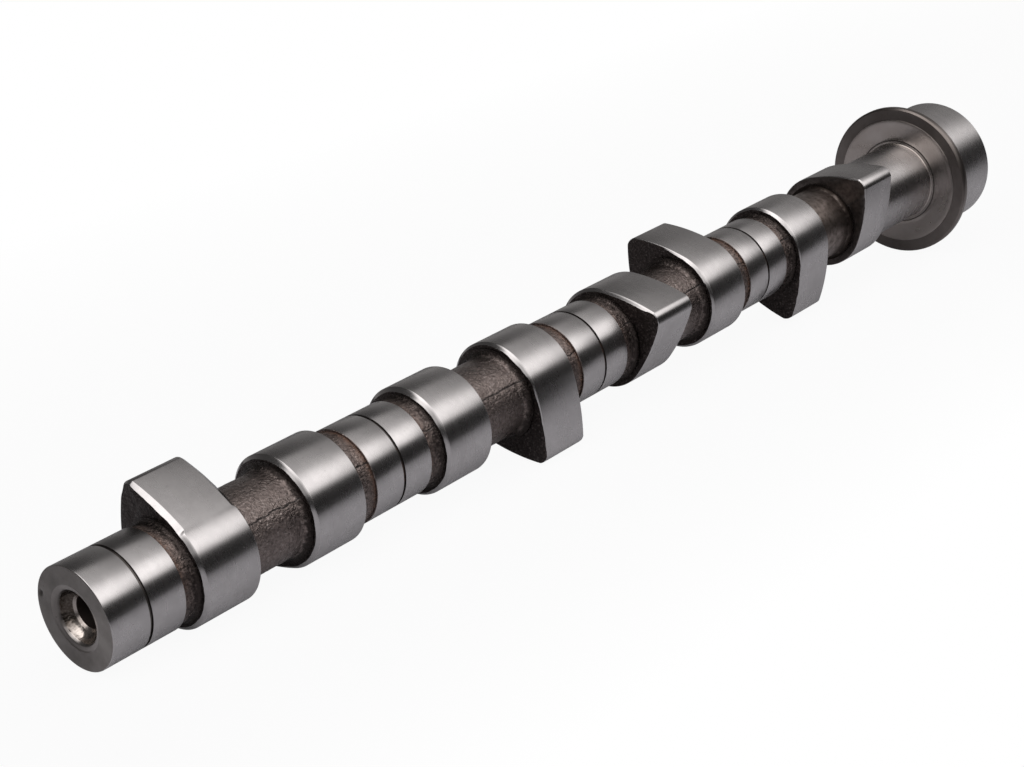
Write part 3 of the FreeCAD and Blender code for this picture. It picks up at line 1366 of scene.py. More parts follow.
    def roughen(self, mesh: Mesh) -> None:
        """Leaves the side faces as cast: uneven, and with bevels as wide as the grinding left them.

        Args:
            mesh: The eight cams.
        """
        size = self.sizes
        rows, count = self.section_rows(), len(self.columns())
        points = np.zeros(len(mesh.vertices) * 3)
        mesh.vertices.foreach_get("co", points)
        points = points.reshape(-1, len(rows), count, 3) / MM
        zones = np.zeros(len(mesh.polygons), dtype=np.int32)
        mesh.attributes["zone"].data.foreach_get("value", zones)
        zones = zones.reshape(len(points), len(rows), count)
        edges = [k for k, row in enumerate(rows) if row[2] == 0.0 and row[1] == size.bevel_height]
        middles = [start + size.cam_width / 2 for start in size.all_cam_starts]
        for cam, cam_zones in zip(points, zones):
            station = cam[..., 0].mean()
            face = self.faces[min(range(len(middles)), key=lambda k: abs(middles[k] - station))]
            if face.scored:
                cam_zones[: edges[0]] = FINISHES.index(Finish.SCORED)
            for edge, way, side in (
                (edges[0], 1, range(0, edges[0])),
                (edges[1], -1, range(edges[1] + 1, len(rows))),
            ):
                middle = edge + way
                corner = [middle + way * (step + 1) for step in range(len(self.corner_rows))]
                for column in range(count):
                    reach = way * round_the_shaft(face.reach, heading_of(cam[edge, column]))
                    cam[middle, column, 0] += reach / 2
                    cam[corner, column, 0] += reach
                    depth = self.depth(cam[edge, column], face)
                    shift = (cam[corner[1], column] - cam[edge, column]) * depth / size.bevel_length
                    cam[edge, column] += shift
                    cam[middle, column] += shift / 2
                    for row in side:
                        fade = min(1.0, self.side_fade * (1.0 - rows[row][2]))
                        cam[row, column, 0] += way * self.depth(cam[row, column], face) * fade
        mesh.vertices.foreach_set("co", (points * MM).ravel())
        mesh.attributes["zone"].data.foreach_set("value", zones.ravel())
        mesh.update()

    def depth(self, point: np.ndarray, face: CamFace) -> float:
        """How much deeper than drawn a point of a side face lies.

        Args:
            point: The point.
            face: The cam's bevels.

        Returns:
            The depth in millimetres.
        """
        angle = heading_of(point)
        half = math.sin(math.radians(angle - self.sizes.parting_angle))
        mould = self.mould_step if half > 0 else -self.mould_step
        found = (1.0 - round_the_shaft(face.widths, angle)) * self.sizes.bevel_length + mould
        found += layered_noise(Vector(point), self.side_lumps)
        return max(0.0, min(self.deepest * self.sizes.bevel_length, found))

    def build(self, bench: Bench) -> Object:
        """Makes the eight cams as one piece.

        Args:
            bench: Where pieces are dressed and tied to the frame.

        Returns:
            The piece.
        """
        mesh = self.recipe(bench.book).bake(self.blank())
        self.roughen(mesh)
        return bench.piece("cams", mesh)


# The rest of the shaft


@dataclass(frozen=True)
class Weathering:
    """How pebbly and cracked one stretch of the cast skin is, and how much shade is painted on it."""

    pebbles: float
    crack: float
    painted_shade_reach: float
    painted_shade: float
    painted_shade_below: float


@dataclass(frozen=True)
class Waists:
    """The rough cast shaft between journals and cams, with hollow corners and two parting lines."""

    sizes: ShaftSizes
    row_step: float = 0.4
    column_step: float = 1.6
    close_columns: tuple[tuple[float, float], ...] = ((4.5, 0.4), (7.0, 0.8))
    least_column: float = 0.2
    socket_depth: float = 6.1
    socket_radius: float = 6.0
    overlap: float = 0.3
    last_fillet: float = 1.3
    # The last three values of each stretch set its painted shade at the cams and underneath.
    first_waist: Weathering = Weathering(0.9, 0.3, 1.84, 0.28, 0.34)
    other_waists: Weathering = Weathering(0.35, 1.0, 1.15, 0.12, 0.30)
    least_skin_radius: float = 10.5
    skin_height: float = 0.09
    skin_lumps: Layers = ((1.0, 0.33), (0.6, 1.2))
    pebble_fineness: float = 2.7
    crack_width: float = 0.16
    crack_depth: float = 0.22
    crack_wander: tuple[tuple[float, float, float], ...] = ((0.7, 0.30, 7.0), (0.35, 1.3, 3.0))
    crack_fineness: float = 1.7
    crack_level: tuple[float, float] = (0.8, 0.4)
    crack_shade: float = 1.5
    mould_shift: float = 0.06
    rust_reach: float = 1.1
    rust_level: tuple[float, float] = (0.9, 0.45)
    rust_streaks: float = 0.25
    rusty_up_to: float = 20.0
    rust_behind: float = 0.6
    # Painted shade in the corners at the cams, and underneath short waists near the journals.
    painted_shade_at_cam: float = 1.35
    painted_shade_below_up_to: float = 5.6
    painted_shade_patches: Layers = ((0.6, 0.9),)
    under_heading: float = 205.0

    def headings(self) -> list[float]:
        """Angles of the columns, closer together at the two parting lines.

        Returns:
            The angles in degrees, rising from 0.
        """
        found: list[float] = []
        angle = 0.0
        while angle < 360.0 - self.least_column:
            found.append(angle)
            away = abs((angle - self.sizes.parting_angle + 90.0) % 180.0 - 90.0)
            close = [step for reach, step in self.close_columns if away < reach]
            angle += close[0] if close else self.column_step
        return found

    def section(self) -> HalfSection:
        """Draws the waists, from the socket inside journal 1 to the middle of the last cam.

        Returns:
            The half section.
        """
        size = self.sizes
        half = size.journal_width / 2
        step = self.row_step
        bottom, mouth = half + self.socket_depth, half - self.overlap
        socket = ((bottom, self.socket_radius), (mouth, self.socket_radius), (mouth, size.short_waist))
        section = HalfSection(bottom, 0.0).path(Finish.CAST, *socket)
        for cylinder in range(1, size.cylinders + 1):
            first, second = size.cam_starts(cylinder)
            journal = (cylinder - 1) * size.pitch
            section.run(journal + half, size.short_waist, Finish.CAST)
            section.cove_up(first, size.short_fillet, Finish.CAST, step=step)
            section.run(first + size.cam_width, section.points[-1][1], Finish.CAST)
            last = cylinder == size.cylinders
            smooth = Finish.TURNED if last else Finish.CAST
            section.cove_down(size.long_waist, size.long_fillet, smooth)
            section.cove_up(second, self.last_fillet if last else size.long_fillet, smooth, step=step)
            if last:
                middle = second + size.cam_width / 2
                section.path(Finish.CAST, (middle, section.points[-1][1]), (middle, 0.0))
                break
            section.run(second + size.cam_width, section.points[-1][1], Finish.CAST)
            section.cove_down(size.short_waist, size.short_fillet, Finish.CAST)
            section.run(journal + size.pitch - half, size.short_waist, Finish.CAST, step)
        return section

    def rust(self, x: float, place: Vector) -> float:
        """How rusty the skin is, most of all beside a journal.

        Args:
            x: The point's station.
            place: The point.

        Returns:
            The rust, which can pass 1.
        """
        size = self.sizes
        journal = round(x / size.pitch) * size.pitch
        away = max(0.0, abs(x - journal) - size.journal_width / 2)
        across, up = place.y * self.rust_streaks, place.z * self.rust_streaks
        level, change = self.rust_level
        streak = level + change * noise.noise(Vector((journal, across, up)))
        side = 1.0 if x < journal or x < self.rusty_up_to else self.rust_behind
        return math.exp(-away / self.rust_reach) * streak * side

    def stain(self, x: float, turn: float, place: Vector, waist: Weathering) -> float:
        """How much shade is painted on the skin: in the corners at the cams, and underneath where a waist is
        short.

        Args:
            x: The point's station.
            turn: Its angle round the shaft, in radians.
            place: The point.
            waist: What is particular to this stretch.

        Returns:
            The painted shade, from 0 to 1.
        """
        size = self.sizes
        edges = [start + wide for start in size.all_cam_starts for wide in (0.0, size.cam_width)]
        from_cam = min(abs(x - edge) for edge in edges)
        # Painted shade, darkest in the corners at the cams, in patches.
        painted_shade = self.painted_shade_at_cam - from_cam / waist.painted_shade_reach + layered_noise(place, self.painted_shade_patches)
        from_journal = abs(x - round(x / size.pitch) * size.pitch) - size.journal_width / 2
        if from_journal < self.painted_shade_below_up_to:
            # Painted shade underneath the waist, near a journal.
            under = math.cos(turn - math.radians(self.under_heading))
            painted_shade = max(painted_shade, waist.painted_shade + waist.painted_shade_below * under)
        return min(1.0, max(0.0, painted_shade))

    def shape(
        self, x: float, radius: float, heading: float, finish: Finish
    ) -> tuple[float, dict[str, float]]:
        """How the skin wanders from the drawn section at one point, and what it carries there.

        Args:
            x: The point's station.
            radius: Its radius as drawn.
            heading: Its angle round the shaft.
            finish: The finish of the strip that it is on.

        Returns:
            How far the point moves outwards, and its rust, crack and painted shade from 0 to 1.
        """
        size = self.sizes
        turn = math.radians(heading)
        place = Vector((x, radius * math.cos(turn), radius * math.sin(turn)))
        waist = self.first_waist if x < size.cam_starts(1)[0] else self.other_waists
        stain = self.stain(x, turn, place, waist)
        if finish is Finish.TURNED or radius < self.least_skin_radius:
            return 0.0, {"rust": 0.0, "crack": 0.0, "stain": stain}
        wander = 0.0
        for height, fineness, seed in self.crack_wander:
            wander += height * noise.noise(Vector((x * fineness, seed, 0.0)))
        away = (heading - size.parting_angle + 90.0) % 180.0 - 90.0
        gap = math.radians(away) * radius - wander
        crack = math.exp(-((gap / self.crack_width) ** 2)) * waist.crack
        level, change = self.crack_level
        crack *= level + change * noise.noise(Vector((x * self.crack_fineness, 0.0, 11.0)))
        from_parting = turn - math.radians(size.parting_angle)
        upper = math.sin(from_parting + wander / radius) > 0.0
        shift = self.mould_shift * math.cos(from_parting) * (1.0 if upper else -1.0)
        layers = (*self.skin_lumps, (waist.pebbles, self.pebble_fineness))
        skin = self.skin_height * layered_noise(place, layers)
        rust = min(1.0, self.rust(x, place))
        carried = {"rust": rust, "crack": min(1.0, crack * self.crack_shade), "stain": stain}
        return skin + shift - self.crack_depth * crack, carried

    def build(self, bench: Bench) -> Object:
        """Makes the cast shaft as one piece."""
        mesh = turned_mesh("cast_waists", self.section(), self.headings(), shape=self.shape)
        return bench.piece("cast_waists", mesh)


@dataclass(frozen=True)
class Dent:
    """A knock in the end face: where its middle is, how far it reaches, how deep it is and how sharp."""

    across: float = 11.0
    up: float = 4.3
    reach: float = 0.95
    depth: float = 0.4
    sharpness: float = 1.5


@dataclass(frozen=True)
class PlainEnd:
    """Journal 1 and the plain end with its centre hole: dish, hollow cup, narrow lip and drilled bore."""

    sizes: ShaftSizes
    columns: int = 224
    end_bevel: float = 0.13
    dish_radius: float = 8.2
    dish_step: float = 0.14
    dish_row: float = 0.3
    face_row: float = 0.4
    dish_floor: float = 0.45
    dish_depth: float = 0.95
    mouth_radius: float = 6.5
    throat_radius: float = 4.75
    dish_bevel: float = 0.18
    cup_depth: float = 3.3
    cup_hollow: float = 0.3
    cup_rows: int = 14
    cup_bevel: float = 0.45
    lip: float = 0.45
    lip_bevel: float = 0.12
    bore_radius: float = 4.1
    bore_length: float = 20.0
    stub_radius: float = 5.9
    stub_length: float = 6.0
    edge: float = 0.05
    near: float = 0.05
    dent: Dent = Dent()
    # Painted shade on the face, the dish and the cup, and a painted highlight at the cup's foot.
    shaded_side: float = 345.0
    face_shade: float = 0.17
    dish_shade: float = 0.25
    dish_mouth_shade: float = 0.3
    cup_lumps: Layers = ((0.08, 0.9), (0.05, 2.4))
    cup_shade: float = 0.97
    cup_patches: Layers = ((0.24, 2.4),)
    painted_highlight_heading: float = 296.0
    painted_highlight: float = 1.2
    painted_highlight_width: float = 22.0

    def section(self) -> HalfSection:
        """Draws the plain end, from the bore's point over the end face and along the journal to its stub.

        Returns:
            The half section.
        """
        size = self.sizes
        end = size.plain_end
        throat = end + self.cup_depth
        lip = throat + self.lip
        point = self.bore_radius / math.tan(math.radians(DRILL_HALF_ANGLE))
        half = size.journal_width / 2
        bottom = lip + self.bore_length
        section = HalfSection(bottom + point, 0.0)
        section.path(Finish.BORE, (bottom, self.bore_radius), (lip, self.bore_radius))
        section.run(throat, self.throat_radius - self.lip_bevel, Finish.THRUST)
        section.run(throat - self.lip_bevel, self.throat_radius, Finish.CUP)
        mouth = end + self.dish_depth
        section.arc(mouth, self.mouth_radius, -self.cup_hollow, Finish.CUP, steps=self.cup_rows)
        section.run(end + self.dish_floor, self.mouth_radius + self.cup_bevel, Finish.DISH)
        section.run(end + self.dish_step, self.dish_radius - self.dish_bevel, Finish.DISH, self.dish_row)
        section.run(end, self.dish_radius, Finish.DISH)
        section.run(end, size.journal_radius - self.end_bevel, Finish.END, self.face_row)
        section.run(end + self.end_bevel, size.journal_radius, Finish.BEVEL)
        section = grooved(section, size, 0.0)
        stub, stub_end = self.stub_radius, half + self.stub_length
        section.path(Finish.CAST, (half, stub), (stub_end, stub), (stub_end, 0.0))
        return section.eased(self.edge)

    def batter(self, mesh: Mesh) -> None:
        """Makes the cup's wall uneven, knocks the dent into the face, and paints shade on one side of the
        face and the dish, in the dent, towards the dish's mouth and round the cup, with a painted highlight
        left at the cup's foot.

        Args:
            mesh: The plain end.
        """
        end, dent, near = self.sizes.plain_end, self.dent, self.near
        stains = []
        for vertex in mesh.vertices:
            place = vertex.co / MM
            radius = math.hypot(place.y, place.z)
            shade = 1.0 + math.cos(math.radians(heading_of(place) - self.shaded_side))
            in_cup = self.throat_radius - near < radius < self.mouth_radius + near
            stain = 0.0
            if place.x < end + near and radius > self.dish_radius:
                away = math.hypot(place.y - dent.across, place.z - dent.up) / dent.reach
                knock = math.exp(-(away**2) * dent.sharpness)
                vertex.co.x += dent.depth * knock * MM
                # Painted shade in the dent and on one side of the face.
                stain = max(knock, self.face_shade * shade)
            elif place.x < end + self.cup_depth and in_cup:
                lump = layered_noise(place, self.cup_lumps)
                vertex.co.y += lump * place.y / radius * MM
                vertex.co.z += lump * place.z / radius * MM
                # Painted shade round the cup, in patches, with a painted highlight left at its foot.
                away = (heading_of(place) - self.painted_highlight_heading + 180.0) % 360.0 - 180.0
                stain = self.cup_shade - self.painted_highlight * math.exp(-((away / self.painted_highlight_width) ** 2))
                stain += layered_noise(place, self.cup_patches)
            elif place.x < end + self.dish_depth and self.mouth_radius < radius < self.dish_radius:
                # Painted shade on one side of the dish and towards its mouth.
                inward = (self.dish_radius - radius) / (self.dish_radius - self.mouth_radius)
                stain = self.dish_shade * shade + self.dish_mouth_shade * inward**2
            stains.append(min(1.0, max(0.0, stain)))
        carry(mesh, "stain", stains)

    def build(self, bench: Bench) -> Object:
        """Makes the plain end as one piece.

        Args:
            bench: Where pieces are dressed and tied to the frame.

        Returns:
            The piece.
        """
        mesh = turned_mesh("plain_end", self.section(), even_headings(self.columns))
        self.batter(mesh)
        return bench.piece("plain_end", mesh)


def grooved(section: HalfSection, size: ShaftSizes, middle: float) -> HalfSection:
    """Goes on along a journal, with the oil groove round its middle and the bevel at its far side.

    Args:
        section: The section so far, which has reached the journal's ground surface.
        size: The shaft's sizes.
        middle: Station of the journal's middle.

    Returns:
        The same section.
    """
    radius, half, side = size.journal_radius, size.groove_width / 2, size.journal_width / 2
    section.run(middle - half, radius, Finish.GROUND)
    section.run(middle - half, radius - size.groove_depth, Finish.GROOVE)
    section.run(middle + half, radius - size.groove_depth, Finish.GROOVE)
    section.run(middle + half, radius, Finish.GROOVE)
    section.run(middle + side - size.journal_bevel, radius, Finish.GROUND)
    return section.run(middle + side, radius - size.journal_bevel, Finish.BEVEL)


@dataclass(frozen=True)
class Journals:
    """Journals 2 to 4: ground rings on the cast shaft, each with an oil groove."""

    sizes: ShaftSizes
    columns: int = 224
    inside: float = 11.2
    edge: float = 0.05

    def blank(self) -> Mesh:
        """Turns one journal, round the origin.

        Returns:
            The journal's mesh.
        """
        size = self.sizes
        half = size.journal_width / 2
        section = HalfSection(-half, self.inside)
        section.run(-half, size.journal_radius - size.journal_bevel, Finish.CAST)
        section.run(-half + size.journal_bevel, size.journal_radius, Finish.CAST)
        section = grooved(section, size, 0.0)
        section.run(half, self.inside, Finish.BEVEL).run(-half, self.inside, Finish.CAST)
        columns = even_headings(self.columns)
        return turned_mesh("journal_blank", section.eased(self.edge), columns, ring=True)

    def recipe(self, book: FinishBook) -> Recipe:
        """Writes the tree that sets the journals along the shaft.

        Args:
            book: The finishes and their materials.

        Returns:
            The tree.
        """
        size = self.sizes
        recipe = Recipe("journal_row")
        sheet = recipe.sheet
        count = recipe.size("Journals", size.cylinders - 1)
        pitch = sheet.combine(recipe.size("Journal Pitch", size.pitch * MM), 0.0, 0.0)
        places = {"Count": count, "Start Location": pitch, "Offset": pitch}
        line = sheet.add("GeometryNodeMeshLine", places, mode="OFFSET")
        placed = {"Points": line.outputs[0], "Instance": recipe.given.outputs["Blank"]}
        rings = sheet.add("GeometryNodeInstanceOnPoints", placed)
        recipe.dress(rings.outputs[0], book, (Finish.GROUND, Finish.BEVEL, Finish.GROOVE, Finish.CAST))
        return recipe

    def build(self, bench: Bench) -> Object:
        """Makes the three journals as one piece."""
        return bench.piece("journals", self.recipe(bench.book).bake(self.blank()))


@dataclass(frozen=True)
class DriveEnd:
    """The thrust bearing and drive nose: long journal, shoulder, flange, nose and the holes in its end."""

    sizes: ShaftSizes
    columns: int = 240
    journal_length: float = 31.4
    journal_fillet: float = 0.8
    stub_length: float = 6.0
    stub_bevel: float = 1.0
    shoulder_length: float = 1.6
    shoulder_step: float = 0.1
    cove: float = 0.55
    undercut_radius: float = 14.1
    undercut_width: float = 0.35
    undercut_depth: float = 0.25
    ring_radius: float = 21.4
    ring_rise: float = 0.3
    ring_bevel: float = 0.12
    ring_row: float = 1.5
    flange_radius: float = 25.51
    flange_thickness: float = 3.1
    flange_bevel: float = 0.6
    nose_radius: float = 21.0
    nose_length: float = 23.4
    nose_bevel: float = 0.6
    nose_fillet: float = 0.8
    small_cove_steps: int = 5
    seat_gap: float = 1.0
    seat_row: float = 0.4
    end_row: float = 2.5
    thread_radius: float = 6.0
    core_radius: float = 5.4
    sink_radius: float = 6.7
    thread_top: float = 1.3
    thread_length: float = 24.0
    drill_point: float = 3.2
    thread_pitch: float = 1.25
    thread_turns: float = 17.6
    thread_start: float = 1.5
    thread_bite: float = 0.02
    thread_steps: int = 40
    tooth_sides: int = 4
    dowel_radius: float = 3.0
    dowel_depth: float = 10.0
    dowel_circle: float = 14.0
    dowel_angle: float = 90.0
    dowel_columns: int = 64
    drill_clearance: float = 1.0
    stain_heading: float = 166.0
    stain_width: float = 20.0
    stain_height: float = 1.1
    stain_patches: float = 0.6
    patch_fineness: tuple[float, float] = (0.6, 0.4)
    stain_loss: float = 0.1
    stain_start: float = 0.1
    edge: float = 0.06

    @property
    def thrust_face(self) -> float:
        """Station of the ground thrust face."""
        return self.sizes.last_cam_end + self.journal_length + self.shoulder_length

    @property
    def nose_end(self) -> float:
        """Station of the drive end's face."""
        return self.thrust_face + self.flange_thickness + self.nose_length

    def section(self) -> HalfSection:
        """Draws the drive end, from inside the last cam to the bottom of the bolt hole.

        Returns:
            The half section.
        """
        size = self.sizes
        start = size.last_cam_end
        face, end = self.thrust_face, self.nose_end
        front, back = face + self.ring_rise, face + self.flange_thickness
        shoulder = face - self.shoulder_step
        undercut, rim = self.undercut_radius, self.flange_radius
        section = HalfSection(start - self.stub_length, 0.0)
        journal, fillet = size.journal_radius, self.journal_fillet
        section.path(Finish.CAST, (start - self.stub_length, journal), (start - self.stub_bevel, journal))
        section.run(start, journal + fillet, Finish.GROUND)
        section.cove_down(journal, fillet, Finish.GROUND, steps=self.small_cove_steps)
        section.run(shoulder - self.cove, journal, Finish.GROUND)
        section.cove_up(shoulder, self.cove, Finish.THRUST)
        section.run(shoulder, undercut, Finish.THRUST)
        floor, wall = face + self.undercut_depth, undercut + self.undercut_width
        section.path(Finish.GROOVE, (floor, undercut), (floor, wall), (face, wall))
        section.run(face, self.ring_radius, Finish.THRUST, self.ring_row)
        bevel = self.flange_bevel
        ahead = ((front, self.ring_radius + self.ring_bevel), (front, rim - bevel), (front + bevel, rim))
        behind = ((back - bevel, rim), (back, rim - bevel), (back, self.nose_radius + self.nose_fillet))
        section.path(Finish.RIM, *ahead, *behind)
        section.cove_down(self.nose_radius, self.nose_fillet, Finish.RIM, steps=self.small_cove_steps)
        seat = back + self.nose_fillet + self.seat_gap
        section.run(seat, self.nose_radius, Finish.RIM, self.seat_row)
        section.run(end - self.nose_bevel, self.nose_radius, Finish.GROUND)
        section.run(end, self.nose_radius - self.nose_bevel, Finish.BEVEL)
        section.run(end, self.sink_radius, Finish.END, self.end_row)
        sink = self.sink_radius - self.thread_radius
        section.run(end - sink, self.thread_radius, Finish.BEVEL)
        bottom = end - self.thread_top - self.thread_length
        section.path(Finish.BORE, (bottom, self.thread_radius), (bottom - self.drill_point, 0.0))
        return section.eased(self.edge)

    def stain(
        self, x: float, radius: float, heading: float, finish: Finish
    ) -> tuple[float, dict[str, float]]:
        """The brown stain where the nose meets the flange, on the side that shows.

        Args:
            x: The point's station.
            radius: Its radius.
            heading: Its angle round the shaft.
            finish: The finish of the strip that it is on.

        Returns:
            No move outwards, and the point's stain from 0 to 1.
        """
        back = self.thrust_face + self.flange_thickness
        if finish is not Finish.RIM or x < back - self.stain_start:
            return 0.0, {"stain": 0.0}
        away = (heading - self.stain_heading) / self.stain_width
        turn = math.radians(heading)
        along, across = self.patch_fineness
        place = Vector((x * along, radius * math.cos(turn) * across, radius * math.sin(turn) * across))
        stain = self.stain_height * math.exp(-away * away) + self.stain_patches * noise.noise(place)
        return 0.0, {"stain": max(0.0, min(1.0, stain - self.stain_loss))}

    def dowel_cutter(self) -> Object:
        """Makes the drill for the dowel hole, standing where it cuts.

        Returns:
            The drill.
        """
        point = self.dowel_radius / math.tan(math.radians(DRILL_HALF_ANGLE))
        bottom, top = self.nose_end - self.dowel_depth, self.nose_end + self.drill_clearance
        section = HalfSection(bottom - point, 0.0)
        section.path(Finish.BORE, (bottom, self.dowel_radius), (top, self.dowel_radius), (top, 0.0))
        mesh = turned_mesh("dowel_cutter", section, even_headings(self.dowel_columns))
        heading = math.radians(self.dowel_angle)
        reach = self.dowel_circle * MM
        mesh.transform(Matrix.Translation((0.0, reach * math.cos(heading), reach * math.sin(heading))))
        return stand("dowel_cutter", mesh)

    def build(self, bench: Bench) -> Object:
        """Makes the drive end as one piece, and cuts its dowel hole.

        Args:
            bench: Where pieces are dressed and tied to the frame.

        Returns:
            The piece.
        """
        mesh = turned_mesh("drive_end", self.section(), even_headings(self.columns), shape=self.stain)
        whole = stand("drive_end_whole", mesh)
        cutter = self.dowel_cutter()
        cut = whole.modifiers.new("dowel_hole", "BOOLEAN")
        cut.operation, cut.object, cut.solver = "DIFFERENCE", cutter, "EXACT"
        made = worked(whole)
        bpy.data.objects.remove(cutter)
        return bench.piece("drive_end", made)

    def thread_recipe(self, book: FinishBook) -> Recipe:
        """Writes the tree that winds the bolt thread's ridge up the hole.

        Args:
            book: The finishes and their materials.

        Returns:
            The tree.
        """
        recipe = Recipe("bolt_thread")
        sheet = recipe.sheet
        pitch = recipe.size("Pitch", self.thread_pitch * MM)
        turns = recipe.size("Turns", self.thread_turns)
        radius = recipe.size("Radius", (self.thread_radius + self.thread_bite) * MM)
        depth = recipe.size("Depth", (self.thread_radius - self.core_radius) * MM)
        helix = sheet.add("GeometryNodeCurveSpiral", {"Resolution": self.thread_steps, "Rotations": turns})
        sheet.feed(helix.inputs["Start Radius"], radius)
        sheet.feed(helix.inputs["End Radius"], radius)
        sheet.feed(helix.inputs["Height"], sheet.math("MULTIPLY", pitch, turns))
        sides = {"Resolution": self.tooth_sides}
        tooth = sheet.add("GeometryNodeCurvePrimitiveCircle", sides, mode="RADIUS")
        sheet.feed(tooth.inputs["Radius"], depth)
        wound = {"Curve": helix.outputs[0], "Profile Curve": tooth.outputs[0], "Fill Caps": True}
        ridge = sheet.add("GeometryNodeCurveToMesh", wound)
        laid = sheet.add("GeometryNodeTransform", {"Geometry": ridge.outputs[0]})
        laid.inputs["Rotation"].default_value = (0.0, math.radians(-90.0), 0.0)
        laid.inputs["Translation"].default_value = ((self.nose_end - self.thread_start) * MM, 0.0, 0.0)
        real = sheet.add("GeometryNodeRealizeInstances", {0: laid.outputs[0]})
        dressed = {"Geometry": real.outputs[0], "Material": book.made[Finish.BORE]}
        steel = sheet.add("GeometryNodeSetMaterial", dressed)
        sheet.add("NodeGroupOutput", {0: steel.outputs[0]})
        return recipe

    def build_thread(self, bench: Bench) -> Object:
        """Makes the thread in the bolt hole as one piece."""
        mesh = self.thread_recipe(bench.book).bake(bpy.data.meshes.new("thread_blank"))
        return bench.piece("bolt_thread", mesh, sharp=50.0)


# The studio


@dataclass(frozen=True)
class TentStrip:
    """Light of one strip of the tent, which runs along the shaft at an angle round it.

    The strip has one level towards the plain end, where the camera stands, and three towards the drive end.
    """

    angle: float
    front: float
    near: float
    middle: float
    far: float


@dataclass(frozen=True)
class Studio:
    """Floor, light tent and camera.

    The tent has a long soft box overhead and towards the camera, with a hot end at the plain end, and black
    screens beside it. The camera sees the tent and the floor as plain white.
    """

    camera_place: tuple[float, float, float] = (-225.446, -344.032, 178.262)
    camera_right: tuple[float, float, float] = (0.64294, -0.75309, -0.13958)
    camera_up: tuple[float, float, float] = (0.34184, 0.11908, 0.93218)
    lens: float = 68.486
    sensor: float = 36.0
    touch_front: tuple[float, float] = (15.3, -15.0)
    touch_back: tuple[float, float] = (346.8, -25.55)
    floor_reach: float = 3000.0
    floor_gap: float = 0.02
    clip: tuple[float, float] = (0.01, 20.0)
    paper: Colour = (0.50, 0.502, 0.531)
    # The paper's painted light: where it fades to the unlit paper, and the painted shadow behind the part.
    unlit_paper: Colour = (0.04, 0.04, 0.04)
    paper_near: tuple[float, float] = (-0.118, -0.036)
    paper_far: tuple[float, float] = (0.150, 0.400)
    paper_start: tuple[float, float] = (-0.12, -0.035)
    painted_shadow_span: tuple[float, float] = (0.0, 0.03)
    painted_shadow_level: float = 0.85
    shade: float = 0.06
    mirrored: float = 0.06
    cloth: float = 0.15
    light_colour: Colour = (1.0, 0.966, 0.953)
    brightest: float = 2.5
    mixes: tuple[tuple[float, float], ...] = ((-0.45, 0.1), (0.5, 0.71), (0.71, 0.834))
    dim_end: tuple[float, float] = (-0.95, -0.78)
    dim_level: float = 0.25
    tent: tuple[TentStrip, ...] = (
        TentStrip(0.0, 0.22, 0.34, 0.50, 0.20),
        TentStrip(12.0, 0.12, 0.16, 0.42, 0.22),
        TentStrip(27.0, 0.07, 0.085, 0.33, 0.21),
        TentStrip(45.0, 0.06, 0.055, 0.22, 0.25),
        TentStrip(60.0, 0.06, 0.055, 0.14, 0.22),
        TentStrip(66.0, 0.45, 0.08, 0.17, 0.22),
        TentStrip(72.0, 2.10, 0.42, 0.28, 0.22),
        TentStrip(82.0, 2.45, 0.57, 0.32, 0.20),
        TentStrip(95.0, 2.40, 0.64, 0.46, 0.30),
        TentStrip(110.0, 1.80, 0.86, 0.97, 0.52),
        TentStrip(121.0, 1.50, 1.64, 1.72, 0.82),
        TentStrip(131.0, 1.90, 2.10, 1.98, 0.80),
        TentStrip(141.0, 1.70, 2.10, 1.70, 0.42),
        TentStrip(149.0, 1.35, 1.78, 1.00, 0.14),
        TentStrip(155.0, 0.75, 0.50, 0.30, 0.12),
        TentStrip(160.0, 0.08, 0.03, 0.04, 0.05),
        TentStrip(184.0, 0.04, 0.02, 0.02, 0.03),
    )

    def sky(self) -> None:
        """Writes the light tent.

        The camera, and glass, see plain white in its place. Metal sees the tent, and the white through its
        cloth where the cloth is bright.
        """
        world = bpy.data.worlds.new("light_tent")
        bpy.context.scene.world = world
        world.use_nodes = True
        world.node_tree.nodes.clear()
        sheet = NodeSheet(world.node_tree)
        along, across, up = sheet.split(sheet.add("ShaderNodeTexCoord").outputs["Generated"])
        turn = sheet.math("DIVIDE", sheet.math("ARCTAN2", up, across), math.tau)
        ramp = sheet.add("ShaderNodeValToRGB", {"Fac": sheet.math("FRACT", sheet.math("ADD", turn, 1.0))})
        stops = ramp.color_ramp.elements
        while len(stops) > 1:
            stops.remove(stops[-1])
        for place, strip in enumerate(self.tent):
            stop = stops[0] if place == 0 else stops.new(strip.angle / 360.0)
            stop.position = strip.angle / 360.0
            levels = (strip.front, strip.near, strip.middle, strip.far)
            stop.color = tuple(level / self.brightest for level in levels)
        level, *others = (*sheet.split(ramp.outputs["Color"]), ramp.outputs["Alpha"])
        for other, mix in zip(others, self.mixes):
            share = sheet.spread(along, *mix)
            level = sheet.add("ShaderNodeMix", {0: share, 2: level, 3: other}).outputs[0]
        level = sheet.math("MULTIPLY", level, sheet.spread(along, *self.dim_end, to_low=self.dim_level))
        light = sheet.add("ShaderNodeBackground", {"Color": (*self.light_colour, 1.0)})
        sheet.feed(light.inputs["Strength"], sheet.math("MULTIPLY", level, self.brightest))
        white = sheet.add("ShaderNodeBackground", {"Color": (1.0, 1.0, 1.0, 1.0), "Strength": 1.0})
        rays = sheet.add("ShaderNodeLightPath").outputs
        seen = sheet.math("ADD", rays["Is Camera Ray"], rays["Is Transmission Ray"])
        through = sheet.math("MULTIPLY", rays["Is Glossy Ray"], sheet.math("MULTIPLY", level, self.cloth))
        share = sheet.math("ADD", seen, through)
        mixed = sheet.add("ShaderNodeMixShader", {0: share, 1: light.outputs[0], 2: white.outputs[0]})
        sheet.add("ShaderNodeOutputWorld", {"Surface": mixed.outputs[0]})

